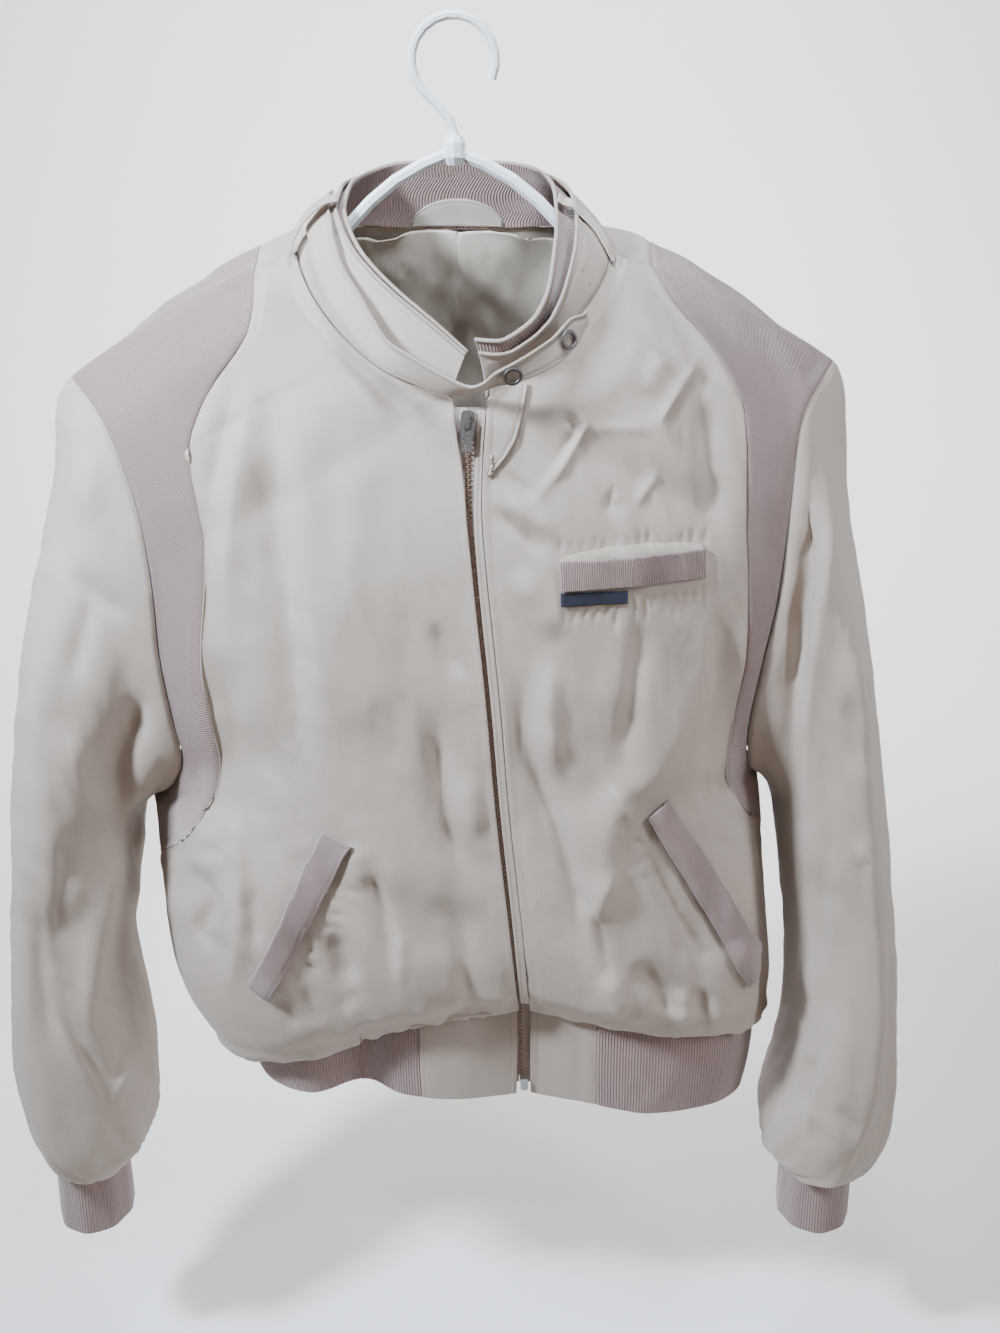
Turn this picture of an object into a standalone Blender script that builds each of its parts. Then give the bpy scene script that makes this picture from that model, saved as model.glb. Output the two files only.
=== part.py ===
"""Racer-style bomber jacket hanging on a plastic clothes hanger.

Metres, +Z up. The origin is the inside top of the hanger's hook. The jacket's front faces -Y,
and the wearer's right is at -X. Every cloth piece is a closed wall worked out from shared
seam curves, so that neighbouring pieces meet along the same points with a small gap.
"""
import math

import bpy
import numpy as np
from mathutils import Vector
from mathutils.bvhtree import BVHTree

for old in list(bpy.data.objects):
    bpy.data.objects.remove(old)

# ---------------------------------------------------------------- driving sizes
CLOTH = 0.0014             # woven wall
RIB = 0.0020               # rib-knit wall
GAP = 0.0003               # clear width of a seam
CUFF_TOP, CUFF_END = -0.814, -0.884
BAND_TOP, BAND_HEM = -0.679, -0.762
COLLAR_STEP = 0.0028       # depth of the rib collar behind the outer one
LINING_DEPTH = 0.0045      # lining behind the shell
STRAP_THICK = 0.0020
HANGER_TUBE = 0.0045       # radius
HOOK_RADIUS = 0.024
HOOK_WIRE = 0.0032

# Rows of a body panel: 0 at the waist, UNDERARM where the side seam meets the armhole,
# NECK and BACK_NECK where the centre edge turns into the neckline, 1 at the shoulder seam.
TIP, UNDERARM, NECK, BACK_NECK = 0.23, 0.30, 0.72, 0.83
ROWS = [0, 0.05, 0.11, 0.17, TIP, UNDERARM, 0.36, 0.42, 0.48, 0.54, 0.60, 0.66, NECK, 0.775,
        BACK_NECK, 0.875, 0.92, 0.96, 1]
PANEL_COLUMNS, INSET_COLUMNS = 9, 3
RIGHT, LEFT = -1, 1
FRONT, BACK = "front", "back"


def table(columns, *rows):
    """A short table as a dictionary of named columns."""
    return {name: np.array([row[i] for row in rows], float) for i, name in enumerate(columns.split())}


def slopes(x, y):
    """Slopes that keep a curve through a table free of overshoot."""
    h, d = np.diff(x), np.diff(y) / np.diff(x)
    m = np.zeros(len(x))
    m[0], m[-1] = d[0], d[-1]
    for i in range(1, len(x) - 1):
        if d[i - 1] * d[i] > 0:
            a, b = 2 * h[i] + h[i - 1], h[i] + 2 * h[i - 1]
            m[i] = (a + b) / (a / d[i - 1] + b / d[i])
    return m


def read(tab, key, name, at):
    """The named column of a table, at a value of its key column."""
    x, y = tab[key], tab[name]
    at = min(max(at, x[0]), x[-1])
    i = min(int(np.searchsorted(x, at, side="right")) - 1, len(x) - 2)
    h, m = x[i + 1] - x[i], slopes(x, y)
    u = (at - x[i]) / h
    return float((2 * u ** 3 - 3 * u ** 2 + 1) * y[i] + (u ** 3 - 2 * u ** 2 + u) * h * m[i]
                 + (3 * u ** 2 - 2 * u ** 3) * y[i + 1] + (u ** 3 - u ** 2) * h * m[i + 1])


def smooth_line(points, samples=400, closed=False):
    """Even samples of a smooth curve through a few points."""
    p = np.array(points, float)
    n = len(p)
    if closed:
        p = np.vstack([p[-1], p, p[0], p[1]])
    else:
        p = np.vstack([2 * p[0] - p[1], p, 2 * p[-1] - p[-2]])
    spans = n if closed else n - 1
    fine = []
    for i in range(spans):
        a, b, c, d = p[i], p[i + 1], p[i + 2], p[i + 3]
        for u in np.linspace(0, 1, 24, endpoint=False):
            fine.append(0.5 * (2 * b + (c - a) * u + (2 * a - 5 * b + 4 * c - d) * u ** 2
                               + (3 * b - a - 3 * c + d) * u ** 3))
    fine.append(p[1] if closed else p[-2])
    fine = np.array(fine)
    run = np.concatenate([[0], np.cumsum(np.linalg.norm(np.diff(fine, axis=0), axis=1))])
    even = np.linspace(0, run[-1], samples)
    return np.stack([np.interp(even, run, fine[:, k]) for k in range(fine.shape[1])], 1)


def on_line(line, a):
    """The point at the share a of a sampled line."""
    at = min(max(a, 0), 1) * (len(line) - 1)
    i = min(int(at), len(line) - 2)
    return line[i] * (1 - at + i) + line[i + 1] * (at - i)


def ease(a, b, x):
    u = min(max((x - a) / (b - a), 0), 1)
    return u * u * (3 - 2 * u)


# ---------------------------------------------------------------- seam curves
# The zip runs down the front, its tapes behind it. right_edge and left_edge are how far each front
# stops from it, and strip_edge is where the guard strip beside it begins.
ZIP = table("z x y tape_y right_edge strip_edge left_edge",
            (-0.762, 0.0450, -0.071, -0.0650, 0.0016, 0.0016, 0.0085),
            (-0.682, 0.0440, -0.077, -0.0655, 0.0016, 0.0016, 0.0085),
            (-0.660, 0.0425, -0.094, -0.0840, 0.0016, 0.0016, 0.0085),
            (-0.610, 0.0385, -0.105, -0.1010, 0.0016, 0.0016, 0.0085),
            (-0.500, 0.0280, -0.110, -0.1066, 0.0016, 0.0016, 0.0080),
            (-0.430, 0.0226, -0.112, -0.1086, 0.0016, 0.0016, 0.0080),
            (-0.330, 0.0130, -0.110, -0.1066, 0.0016, 0.0020, 0.0080),
            (-0.290, 0.0098, -0.105, -0.1016, 0.0020, 0.0034, 0.0088),
            (-0.262, 0.0095, -0.099, -0.0958, 0.0048, 0.0050, 0.0100),
            (-0.245, 0.0100, -0.095, -0.0918, 0.0080, 0.0052, 0.0108),
            (-0.2265, 0.0108, -0.090, -0.0868, 0.0115, 0.0052, 0.0112))
NECK_Z = -0.2265

# Neckline from the centre front, over the shoulder seam, to the centre back.
NECKLINE_FRONT = table("x y z",
                       (0.0110, -0.0900, -0.2265),
                       (0.0405, -0.0850, -0.2122),
                       (0.0697, -0.0700, -0.1911),
                       (0.0900, -0.0500, -0.1697),
                       (0.1000, -0.0320, -0.1540),
                       (0.1045, -0.0180, -0.1430))
NECKLINE_BACK = table("x y z",
                      (0.0000, 0.0680, -0.1340),
                      (0.0420, 0.0640, -0.1325),
                      (0.0760, 0.0480, -0.1300),
                      (0.0980, 0.0200, -0.1300),
                      (0.1045, -0.0180, -0.1430))

# Armholes from the underarm to the shoulder tip.
ARMHOLES = {
    (RIGHT, FRONT): table("x y z",
                          (-0.2325, 0.000, -0.5380),
                          (-0.2119, -0.035, -0.5226),
                          (-0.1965, -0.055, -0.4931),
                          (-0.1985, -0.065, -0.4600),
                          (-0.2038, -0.070, -0.4100),
                          (-0.2055, -0.070, -0.3550),
                          (-0.2142, -0.062, -0.3010),
                          (-0.2353, -0.045, -0.2500),
                          (-0.2640, -0.008, -0.2255)),
    (RIGHT, BACK): table("x y z",
                         (-0.2325, 0.000, -0.5380),
                         (-0.2150, 0.040, -0.5150),
                         (-0.2070, 0.062, -0.4700),
                         (-0.2050, 0.072, -0.4100),
                         (-0.2090, 0.072, -0.3500),
                         (-0.2200, 0.060, -0.2900),
                         (-0.2400, 0.038, -0.2450),
                         (-0.2640, -0.008, -0.2255)),
    (LEFT, FRONT): table("x y z",
                         (0.2235, 0.000, -0.5220),
                         (0.2110, -0.035, -0.5050),
                         (0.2060, -0.055, -0.4650),
                         (0.2120, -0.062, -0.4150),
                         (0.2190, -0.063, -0.3750),
                         (0.2227, -0.062, -0.3330),
                         (0.2249, -0.058, -0.2942),
                         (0.2330, -0.044, -0.2450),
                         (0.2585, -0.008, -0.2150)),
    (LEFT, BACK): table("x y z",
                        (0.2235, 0.000, -0.5220),
                        (0.2130, 0.040, -0.5000),
                        (0.2130, 0.062, -0.4600),
                        (0.2170, 0.072, -0.4000),
                        (0.2190, 0.072, -0.3400),
                        (0.2250, 0.060, -0.2800),
                        (0.2400, 0.036, -0.2350),
                        (0.2585, -0.008, -0.2150)),
}

# Side seams, from the lowest point of the bloused body up to the underarm.
SIDES = {
    RIGHT: table("z x", (-0.740, -0.1960), (-0.7136, -0.2068), (-0.6580, -0.2204), (-0.5680, -0.2287),
                 (-0.5380, -0.2325)),
    LEFT: table("z x", (-0.740, 0.2330), (-0.7209, 0.2386), (-0.6882, 0.2391), (-0.6331, 0.2360),
                (-0.5220, 0.2235)),
}

# The waistband in plan, from the zip round the wearer's right, the back and the left: how far the
# body droops over it, how far the body stands out there, and how much lower the hem hangs.
BAND = table("x y droop stand hem",
             (0.0430, -0.0710, 0.003, 0.006, 0.000),
             (-0.0020, -0.0780, 0.006, 0.008, 0.000),
             (-0.0450, -0.0715, 0.019, 0.012, 0.000),
             (-0.0740, -0.0560, 0.034, 0.018, -0.003),
             (-0.1120, -0.0660, 0.044, 0.016, 0.003),
             (-0.1460, -0.0500, 0.054, 0.020, 0.003),
             (-0.1640, -0.0230, 0.063, 0.025, 0.000),
             (-0.1670, 0.0020, 0.063, 0.026, 0.000),
             (-0.1560, 0.0400, 0.044, 0.024, 0.000),
             (-0.1200, 0.0640, 0.032, 0.018, 0.000),
             (-0.0700, 0.0720, 0.020, 0.016, 0.000),
             (-0.0200, 0.0680, 0.014, 0.014, 0.000),
             (0.0300, 0.0740, 0.012, 0.014, 0.000),
             (0.0800, 0.0680, 0.014, 0.014, 0.000),
             (0.1300, 0.0740, 0.018, 0.014, 0.000),
             (0.1800, 0.0620, 0.026, 0.014, 0.003),
             (0.2120, 0.0400, 0.034, 0.013, 0.007),
             (0.2270, 0.0050, 0.036, 0.012, 0.010),
             (0.2260, -0.0200, 0.035, 0.012, 0.010),
             (0.2150, -0.0520, 0.028, 0.012, 0.009),
             (0.1880, -0.0760, 0.018, 0.012, 0.007),
             (0.1390, -0.0860, 0.011, 0.011, 0.007),
             (0.0860, -0.0755, 0.006, 0.009, 0.003),
             (0.0530, -0.0700, 0.003, 0.006, 0.000))
BAND_RIGHT_SIDE, BAND_LEFT_SIDE = 0.2565, 0.7390    # shares of its length at the side seams

band_line = smooth_line(np.stack([BAND[name] for name in ("x", "y", "droop", "stand", "hem")], 1))


def band_point(w):
    """Plan point, outward direction, droop, stand-out and hem drop at the share w of the band."""
    x, y, droop, stand, hem = on_line(band_line, w)
    a, b = on_line(band_line, w - 0.004), on_line(band_line, w + 0.004)
    along = (b - a)[:2] / np.linalg.norm((b - a)[:2])
    return np.array([x, y]), np.array([-along[1], along[0]]), droop, stand, hem


def band_share(side, face, s):
    """The share of the band under a body panel's column."""
    if side == RIGHT:
        return BAND_RIGHT_SIDE * s if face == FRONT else 0.5 + (BAND_RIGHT_SIDE - 0.5) * s
    return 1 + (BAND_LEFT_SIDE - 1) * s if face == FRONT else 0.5 + (BAND_LEFT_SIDE - 0.5) * s


def waist_bottom(side, face, s):
    """The lowest line of the bloused body."""
    p, out, droop, stand, hem = band_point(band_share(side, face, s))
    return np.array([*(p + out * stand), BAND_TOP - droop])


# ---------------------------------------------------------------- body panels
def centre_edge(side, face, t):
    if face == FRONT:
        if t <= NECK:
            bottom = waist_bottom(side, face, 0)
            z = bottom[2] + (NECK_Z - bottom[2]) * t / NECK
            edge = "right_edge" if side == RIGHT else "left_edge"
            x = read(ZIP, "z", "x", z) + side * read(ZIP, "z", edge, z)
            return np.array([x, read(ZIP, "z", "y", z), z])
        line = neck_lines[side, FRONT]
        return on_line(line, (t - NECK) / (1 - NECK))
    if t <= BACK_NECK:
        bottom = waist_bottom(side, face, 0)
        top = neck_lines[side, BACK][0]
        u = t / BACK_NECK
        p = bottom + (top - bottom) * u
        p[1] += 0.034 * math.sin(math.pi * u ** 0.9)
        return p
    return on_line(neck_lines[side, BACK], (t - BACK_NECK) / (1 - BACK_NECK))


def side_edge(side, face, t):
    if t <= UNDERARM:
        bottom = waist_bottom(side, face, 1)
        top = arm_lines[side, FRONT][0]
        u = t / UNDERARM
        z = bottom[2] + (top[2] - bottom[2]) * u
        keep = ease(0, 0.25, u)
        x = read(SIDES[side], "z", "x", z) * keep + (bottom[0] + (top[0] - bottom[0]) * u) * (1 - keep)
        return np.array([x, bottom[1] * (1 - u) + top[1] * u, z])
    return on_line(arm_lines[side, face], (t - UNDERARM) / (1 - UNDERARM))


def row_point(side, face, s, t):
    """A row runs from the centre edge to the side edge and rounds backward near the side."""
    a, b = centre_edge(side, face, t), side_edge(side, face, t)
    p = a + (b - a) * s
    full = 1 - (1 - s ** 2.6) ** (1 / 2.6)
    open_arm = ease(UNDERARM - 0.14, UNDERARM + 0.16, t)
    turn = 2.4 - 0.9 * ease(0.75, 1, t)
    lift = math.sin(math.pi * s) * 0.006 * (1 - ease(0.7, 1, t))
    p[1] = a[1] + (b[1] - a[1]) * (full * (1 - open_arm) + s ** turn * open_arm)
    p[1] += -lift if face == FRONT else lift
    p[2] += shoulder_crown(face, t) * math.sin(math.pi * s) ** 0.7
    return p


def shoulder_crown(face, t):
    """The shoulder bows over the hanger's arm, highest just behind the seam."""
    if face == FRONT:
        return 0.007 * ease(0.86, 1, t)
    return 0.007 * ease(0.90, 1, t) + 0.014 * ease(0.80, 0.95, t) * (1 - ease(0.95, 1, t))


# Large soft folds of the body: start and end in plan, half-width and depth (minus is a trough).
BODY_FOLDS = table("front side x0 z0 x1 z1 width depth",
                   (1, -1, -0.115, -0.270, -0.060, -0.420, 0.030, 0.0040),
                   (1, -1, -0.165, -0.500, -0.020, -0.600, 0.030, -0.0045),
                   (1, -1, -0.175, -0.560, -0.110, -0.680, 0.026, 0.0060),
                   (1, -1, -0.060, -0.560, -0.045, -0.680, 0.028, 0.0045),
                   (1, 1, 0.075, -0.255, 0.160, -0.300, 0.024, -0.0040),
                   (1, 1, 0.115, -0.420, 0.190, -0.500, 0.030, 0.0040),
                   (1, 1, 0.085, -0.520, 0.100, -0.660, 0.028, 0.0045),
                   (1, 1, 0.185, -0.520, 0.165, -0.670, 0.026, -0.0045),
                   (0, -1, -0.120, -0.250, -0.050, -0.420, 0.032, 0.0045),
                   (0, -1, -0.150, -0.500, -0.090, -0.680, 0.030, 0.0055),
                   (0, 1, 0.120, -0.250, 0.060, -0.420, 0.032, 0.0045),
                   (0, 1, 0.150, -0.500, 0.080, -0.680, 0.030, -0.0050))


def body_folds(side, face, p):
    """How far the large folds push the cloth out at a point."""
    push = 0
    f = BODY_FOLDS
    for i in range(len(f["x0"])):
        if f["side"][i] != side or (f["front"][i] == 1) != (face == FRONT):
            continue
        a = np.array([f["x0"][i], f["z0"][i]])
        b = np.array([f["x1"][i], f["z1"][i]])
        q = np.array([p[0], p[2]])
        u = np.dot(q - a, b - a) / np.dot(b - a, b - a)
        off = np.linalg.norm(q - a - (b - a) * min(max(u, 0), 1)) / f["width"][i]
        push += f["depth"][i] * math.exp(-off * off * 1.6)
    return push


def body_point(side, face, s, t):
    """A point of a body panel's outer face."""
    p = row_point(side, face, s, t)
    settle = (1 - min(t / 0.34, 1)) ** 2
    if settle > 0:
        p = p + (waist_bottom(side, face, s) - row_point(side, face, s, 0)) * settle
    edge = ease(0, 0.12, s) * ease(0, 0.08, 1 - s) * ease(0, 0.06, t) * ease(0, 0.15, 1 - t)
    p[1] += (-1 if face == FRONT else 1) * body_folds(side, face, p) * edge
    return p


# Where the rib inset begins on each row, as a share of the way from centre to side.
INSET_SEAMS = {
    (RIGHT, FRONT): table("t s", (0, 1), (TIP, 1), (UNDERARM, 0.81), (0.36, 0.82), (0.48, 0.87),
                          (0.54, 0.87), (0.66, 0.825), (0.775, 0.775), (0.83, 0.72), (0.875, 0.57),
                          (0.92, 0.31), (0.96, 0.22), (1, 0.18)),
    (LEFT, FRONT): table("t s", (0, 1), (TIP, 1), (UNDERARM, 0.87), (0.36, 0.885), (0.48, 0.93),
                         (0.54, 0.93), (0.66, 0.885), (0.775, 0.83), (0.83, 0.79), (0.875, 0.73),
                         (0.92, 0.55), (0.96, 0.30), (1, 0.18)),
    (RIGHT, BACK): table("t s", (0, 1), (TIP, 1), (UNDERARM, 0.84), (0.36, 0.84), (0.54, 0.84),
                         (0.66, 0.81), (0.775, 0.76), (0.83, 0.70), (0.875, 0.57), (0.92, 0.33),
                         (0.96, 0.22), (1, 0.18)),
    (LEFT, BACK): table("t s", (0, 1), (TIP, 1), (UNDERARM, 0.86), (0.36, 0.86), (0.54, 0.86),
                        (0.66, 0.82), (0.775, 0.77), (0.83, 0.71), (0.875, 0.58), (0.92, 0.34),
                        (0.96, 0.22), (1, 0.18)),
}


def inset_seam(side, face, t):
    return read(INSET_SEAMS[side, face], "t", "s", t)


def spread(q, seam):
    """Columns stand closer together towards the side, where the panel turns."""
    return seam * math.sin(q * math.pi / 2) ** 0.85 if seam > 0.7 else seam * q


neck_lines, arm_lines = {}, {}
for side in (RIGHT, LEFT):
    front_neck = np.stack([NECKLINE_FRONT[k] for k in "xyz"], 1) * (side, 1, 1)
    front_neck[0, 0] = read(ZIP, "z", "x", NECK_Z) + side * read(
        ZIP, "z", "right_edge" if side == RIGHT else "left_edge", NECK_Z)
    neck_lines[side, FRONT] = smooth_line(front_neck)
    neck_lines[side, BACK] = smooth_line(np.stack([NECKLINE_BACK[k] for k in "xyz"], 1) * (side, 1, 1))
    for face in (FRONT, BACK):
        hole = ARMHOLES[side, face]
        arm_lines[side, face] = smooth_line(np.stack([hole[k] for k in "xyz"], 1))


# ---------------------------------------------------------------- walls
class Patch:
    """A grid of points on a piece's outer face. Points that coincide are one corner."""

    def __init__(self, name, rows, depth, group, lift=0.0, closed=False, flip=False, lifts=None):
        self.name, self.depth, self.group, self.lift, self.lifts = name, depth, group, lift, lifts
        self.points, self.faces, self.raised = [], [], []
        self.places = {}
        for block, grid in enumerate(rows):
            ids = [[self.corner(p, block, i, j) for j, p in enumerate(row)] for i, row in enumerate(grid)]
            for i in range(len(ids) - 1):
                wide = len(ids[i])
                for j in range(wide if closed else wide - 1):
                    k = (j + 1) % wide
                    ring = [ids[i][j], ids[i][k], ids[i + 1][k], ids[i + 1][j]]
                    ring = [v for n, v in enumerate(ring) if v != ring[n - 1]]
                    if len(ring) > 2:
                        self.faces.append(ring[::-1] if flip else ring)

    def triangles(self):
        """Faces cut along their shorter diagonal, so both sides of the wall fold the same way."""
        cut = []
        for ring in self.faces:
            if len(ring) == 4:
                a, b, c, d = (self.points[v] for v in ring)
                if np.linalg.norm(a - c) > np.linalg.norm(b - d):
                    ring = ring[1:] + ring[:1]
                cut += [[ring[0], ring[1], ring[2]], [ring[0], ring[2], ring[3]]]
            else:
                cut.append(ring)
        return cut

    def corner(self, p, block, i, j):
        key = tuple(np.round(np.asarray(p) * 20000).astype(int))
        if key not in self.places:
            self.places[key] = len(self.points)
            self.points.append(np.array(p, float))
            self.raised.append(0.0 if self.lifts is None else self.lifts[block][i][j])
        return self.places[key]

    def measure(self):
        """Corner normals, weighted by the angle each triangle has there."""
        self.normals = np.zeros((len(self.points), 3))
        for ring in self.triangles():
            p = [self.points[v] for v in ring]
            n = np.cross(p[1] - p[0], p[2] - p[0])
            n /= np.linalg.norm(n)
            for i, v in enumerate(ring):
                e, f = p[(i + 1) % 3] - p[i], p[(i + 2) % 3] - p[i]
                self.normals[v] += n * math.acos(np.dot(e, f) / np.linalg.norm(e) / np.linalg.norm(f))

    def rims(self):
        """Boundary edges, each as the face that owns it walks along it."""
        owned = {(a, b) for ring in self.faces for a, b in zip(ring, ring[1:] + ring[:1])}
        return [(a, b) for a, b in owned if (b, a) not in owned]

    def solid(self):
        """Corners and faces of the closed wall."""
        points = np.array(self.points)
        inward = {}
        edges = sorted(self.rims())
        for a, b in edges:
            n = self.normals[a] + self.normals[b]
            d = np.cross(n, points[b] - points[a])
            d /= np.linalg.norm(d)
            for v in (a, b):
                inward.setdefault(v, []).append(d)
        for v, (d, *rest) in inward.items():
            e = rest[0] if rest else d
            mitre = (d + e) / max(1 + float(np.dot(d, e)), 0.08)
            points[v] += mitre * GAP * 0.62
        lift = np.array(self.raised)[:, None] + self.lift
        outer = points + self.normals * lift
        inner = outer - self.normals * self.depth
        n = len(points)
        cut = self.triangles()
        faces = cut + [[v + n for v in ring[::-1]] for ring in cut]
        for a, b in edges:
            if tuple(self.points[a]) < tuple(self.points[b]):
                faces += [[b, a, b + n], [a, a + n, b + n]]
            else:
                faces += [[b, a, a + n], [b, a + n, b + n]]
        return np.vstack([outer, inner]), faces


patches = []


def settle_normals():
    """Pieces of one group share the direction of their walls along every seam."""
    shared = {}
    for patch in patches:
        patch.measure()
        for key, v in patch.places.items():
            shared[patch.group, key] = shared.get((patch.group, key), 0) + patch.normals[v]
    for patch in patches:
        for key, v in patch.places.items():
            n = shared[patch.group, key]
            patch.normals[v] = n / np.linalg.norm(n)


def sew(name, grid, depth, group, **options):
    """One piece from one grid, or from a list of grids that share corners."""
    grids = grid if isinstance(grid[0][0], list) else [grid]
    patches.append(Patch(name, grids, depth, group, **options))
    return patches[-1]


# ---------------------------------------------------------------- shell: fronts, back, insets
def tucked_rows(side, face, columns):
    """The two lowest rows turn under the bloused body and end on the band's top edge."""
    seam, fold = [], []
    for q in columns:
        p, out, droop, stand, hem = band_point(band_share(side, face, spread(q, 1)))
        seam.append(np.array([*(p + out * 0.0020), BAND_TOP - 0.0010]))
        fold.append(np.array([*(p + out * (stand * 0.55 + 0.001)), BAND_TOP - droop - 0.004]))
    return [seam, fold]


def panel_grid(side, face):
    columns = [i / PANEL_COLUMNS for i in range(PANEL_COLUMNS + 1)]
    body = [[body_point(side, face, spread(q, inset_seam(side, face, t)), t) for q in columns]
            for t in ROWS]
    return tucked_rows(side, face, columns) + body


def inset_grid(side, face):
    rows = [t for t in ROWS if t >= TIP]
    grid = []
    for t in rows:
        seam = spread(1, inset_seam(side, face, t))
        columns = [seam + (1 - seam) * i / INSET_COLUMNS for i in range(INSET_COLUMNS + 1)]
        grid.append([body_point(side, face, s, t) for s in columns])
    return grid


for side, word in ((RIGHT, "right"), (LEFT, "left")):
    sew(f"front_{word}", panel_grid(side, FRONT), CLOTH, "shell", flip=side == RIGHT)
    sew(f"inset_front_{word}", inset_grid(side, FRONT), RIB, "shell", flip=side == RIGHT)
    sew(f"inset_back_{word}", inset_grid(side, BACK), RIB, "shell", flip=side == LEFT)
right_back, left_back = panel_grid(RIGHT, BACK), panel_grid(LEFT, BACK)
sew("back", [[row[::-1] for row in right_back], left_back], CLOTH, "shell", flip=True)

# ---------------------------------------------------------------- sleeves
# Outer and inner line of each sleeve (x, z), the depth forward of the body's middle plane, and the
# half-depth from front to back. The last rows turn in under the bloused end to the cuff.
SLEEVES = {
    RIGHT: table("xo zo xi zi y half",
                 (-0.2640, -0.2255, -0.2325, -0.5380, 0.000, 0.066),
                 (-0.2760, -0.2450, -0.2375, -0.5395, 0.000, 0.070),
                 (-0.2830, -0.2900, -0.2400, -0.5440, 0.000, 0.076),
                 (-0.2950, -0.3350, -0.2415, -0.5500, 0.000, 0.080),
                 (-0.3100, -0.3920, -0.2425, -0.5570, -0.002, 0.083),
                 (-0.3235, -0.4650, -0.2435, -0.5680, -0.005, 0.083),
                 (-0.3300, -0.5300, -0.2455, -0.5880, -0.009, 0.081),
                 (-0.3370, -0.5950, -0.2480, -0.6180, -0.014, 0.079),
                 (-0.3440, -0.6500, -0.2525, -0.6560, -0.020, 0.078),
                 (-0.3485, -0.7000, -0.2460, -0.7000, -0.026, 0.077),
                 (-0.3490, -0.7480, -0.2410, -0.7480, -0.032, 0.075),
                 (-0.3430, -0.7880, -0.2400, -0.7880, -0.037, 0.070),
                 (-0.3360, -0.8150, -0.2470, -0.8150, -0.041, 0.060),
                 (-0.3270, -0.8260, -0.2580, -0.8260, -0.044, 0.047),
                 (-0.3222, -0.8200, -0.2648, -0.8200, -0.045, 0.0352)),
    LEFT: table("xo zo xi zi y half",
                (0.2585, -0.2150, 0.2235, -0.5220, 0.000, 0.066),
                (0.2665, -0.2350, 0.2290, -0.5240, 0.000, 0.070),
                (0.2710, -0.2750, 0.2315, -0.5290, 0.000, 0.076),
                (0.2775, -0.3200, 0.2335, -0.5360, 0.000, 0.080),
                (0.2870, -0.3700, 0.2360, -0.5460, -0.002, 0.083),
                (0.3000, -0.4400, 0.2395, -0.5610, -0.005, 0.083),
                (0.3110, -0.5100, 0.2430, -0.5850, -0.009, 0.081),
                (0.3235, -0.5850, 0.2470, -0.6200, -0.014, 0.079),
                (0.3300, -0.6450, 0.2500, -0.6580, -0.020, 0.078),
                (0.3345, -0.6950, 0.2510, -0.7000, -0.026, 0.077),
                (0.3380, -0.7480, 0.2450, -0.7480, -0.032, 0.075),
                (0.3370, -0.7880, 0.2340, -0.7880, -0.037, 0.070),
                (0.3300, -0.8180, 0.2370, -0.8180, -0.041, 0.060),
                (0.3160, -0.8290, 0.2455, -0.8290, -0.044, 0.047),
                (0.3092, -0.8210, 0.2518, -0.8210, -0.045, 0.0352)),
}

# Large sleeve folds: row and turn where each starts and ends, half-width, depth. A turn of 0 is the
# outer line, 90 the front, 180 the inner line and 270 the back.
SLEEVE_FOLDS = {
    RIGHT: table("v0 turn0 v1 turn1 width depth",
                 (0.10, 40, 0.45, 95, 0.030, 0.0050),
                 (0.12, 110, 0.38, 150, 0.026, -0.0060),
                 (0.45, 60, 0.80, 80, 0.026, 0.0055),
                 (0.50, 110, 0.82, 125, 0.022, -0.0050),
                 (0.60, 30, 0.88, 45, 0.024, -0.0045),
                 (0.30, 230, 0.60, 280, 0.030, 0.0050),
                 (0.62, 240, 0.85, 300, 0.026, -0.0050)),
    LEFT: table("v0 turn0 v1 turn1 width depth",
                (0.03, 50, 0.75, 78, 0.020, 0.0060),
                (0.10, 95, 0.60, 115, 0.024, -0.0055),
                (0.55, 40, 0.85, 60, 0.026, -0.0040),
                (0.62, 110, 0.86, 95, 0.022, 0.0045),
                (0.30, 230, 0.60, 280, 0.030, 0.0050),
                (0.62, 240, 0.85, 300, 0.026, -0.0050)),
}


def arm_turns():
    """The shell's rows round an armhole, as turns from the shoulder tip over the front."""
    rows = [t for t in ROWS if t >= UNDERARM]
    front = [(1 - (t - UNDERARM) / (1 - UNDERARM)) * math.pi for t in rows[::-1]]
    return front + [2 * math.pi - turn for turn in front[-2:0:-1]]


def armhole_point(side, turn):
    face = FRONT if turn <= math.pi else BACK
    a = 1 - (turn if face == FRONT else 2 * math.pi - turn) / math.pi
    return side_edge(side, face, UNDERARM + a * (1 - UNDERARM))


def sleeve_ring_point(side, v, turn):
    tab = SLEEVES[side]
    n = len(tab["y"]) - 1
    keys = dict(tab, key=np.arange(n + 1) / n)
    xo, zo, xi, zi, y, half = (read(keys, "key", k, v) for k in ("xo", "zo", "xi", "zi", "y", "half"))
    c, s = math.cos(turn), math.sin(turn)
    across = 0.5 * (np.array([xo, zo]) - np.array([xi, zi]))
    middle = 0.5 * (np.array([xo, zo]) + np.array([xi, zi]))
    plan = middle + across * c
    return np.array([plan[0], y - half * s, plan[1]])


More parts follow.
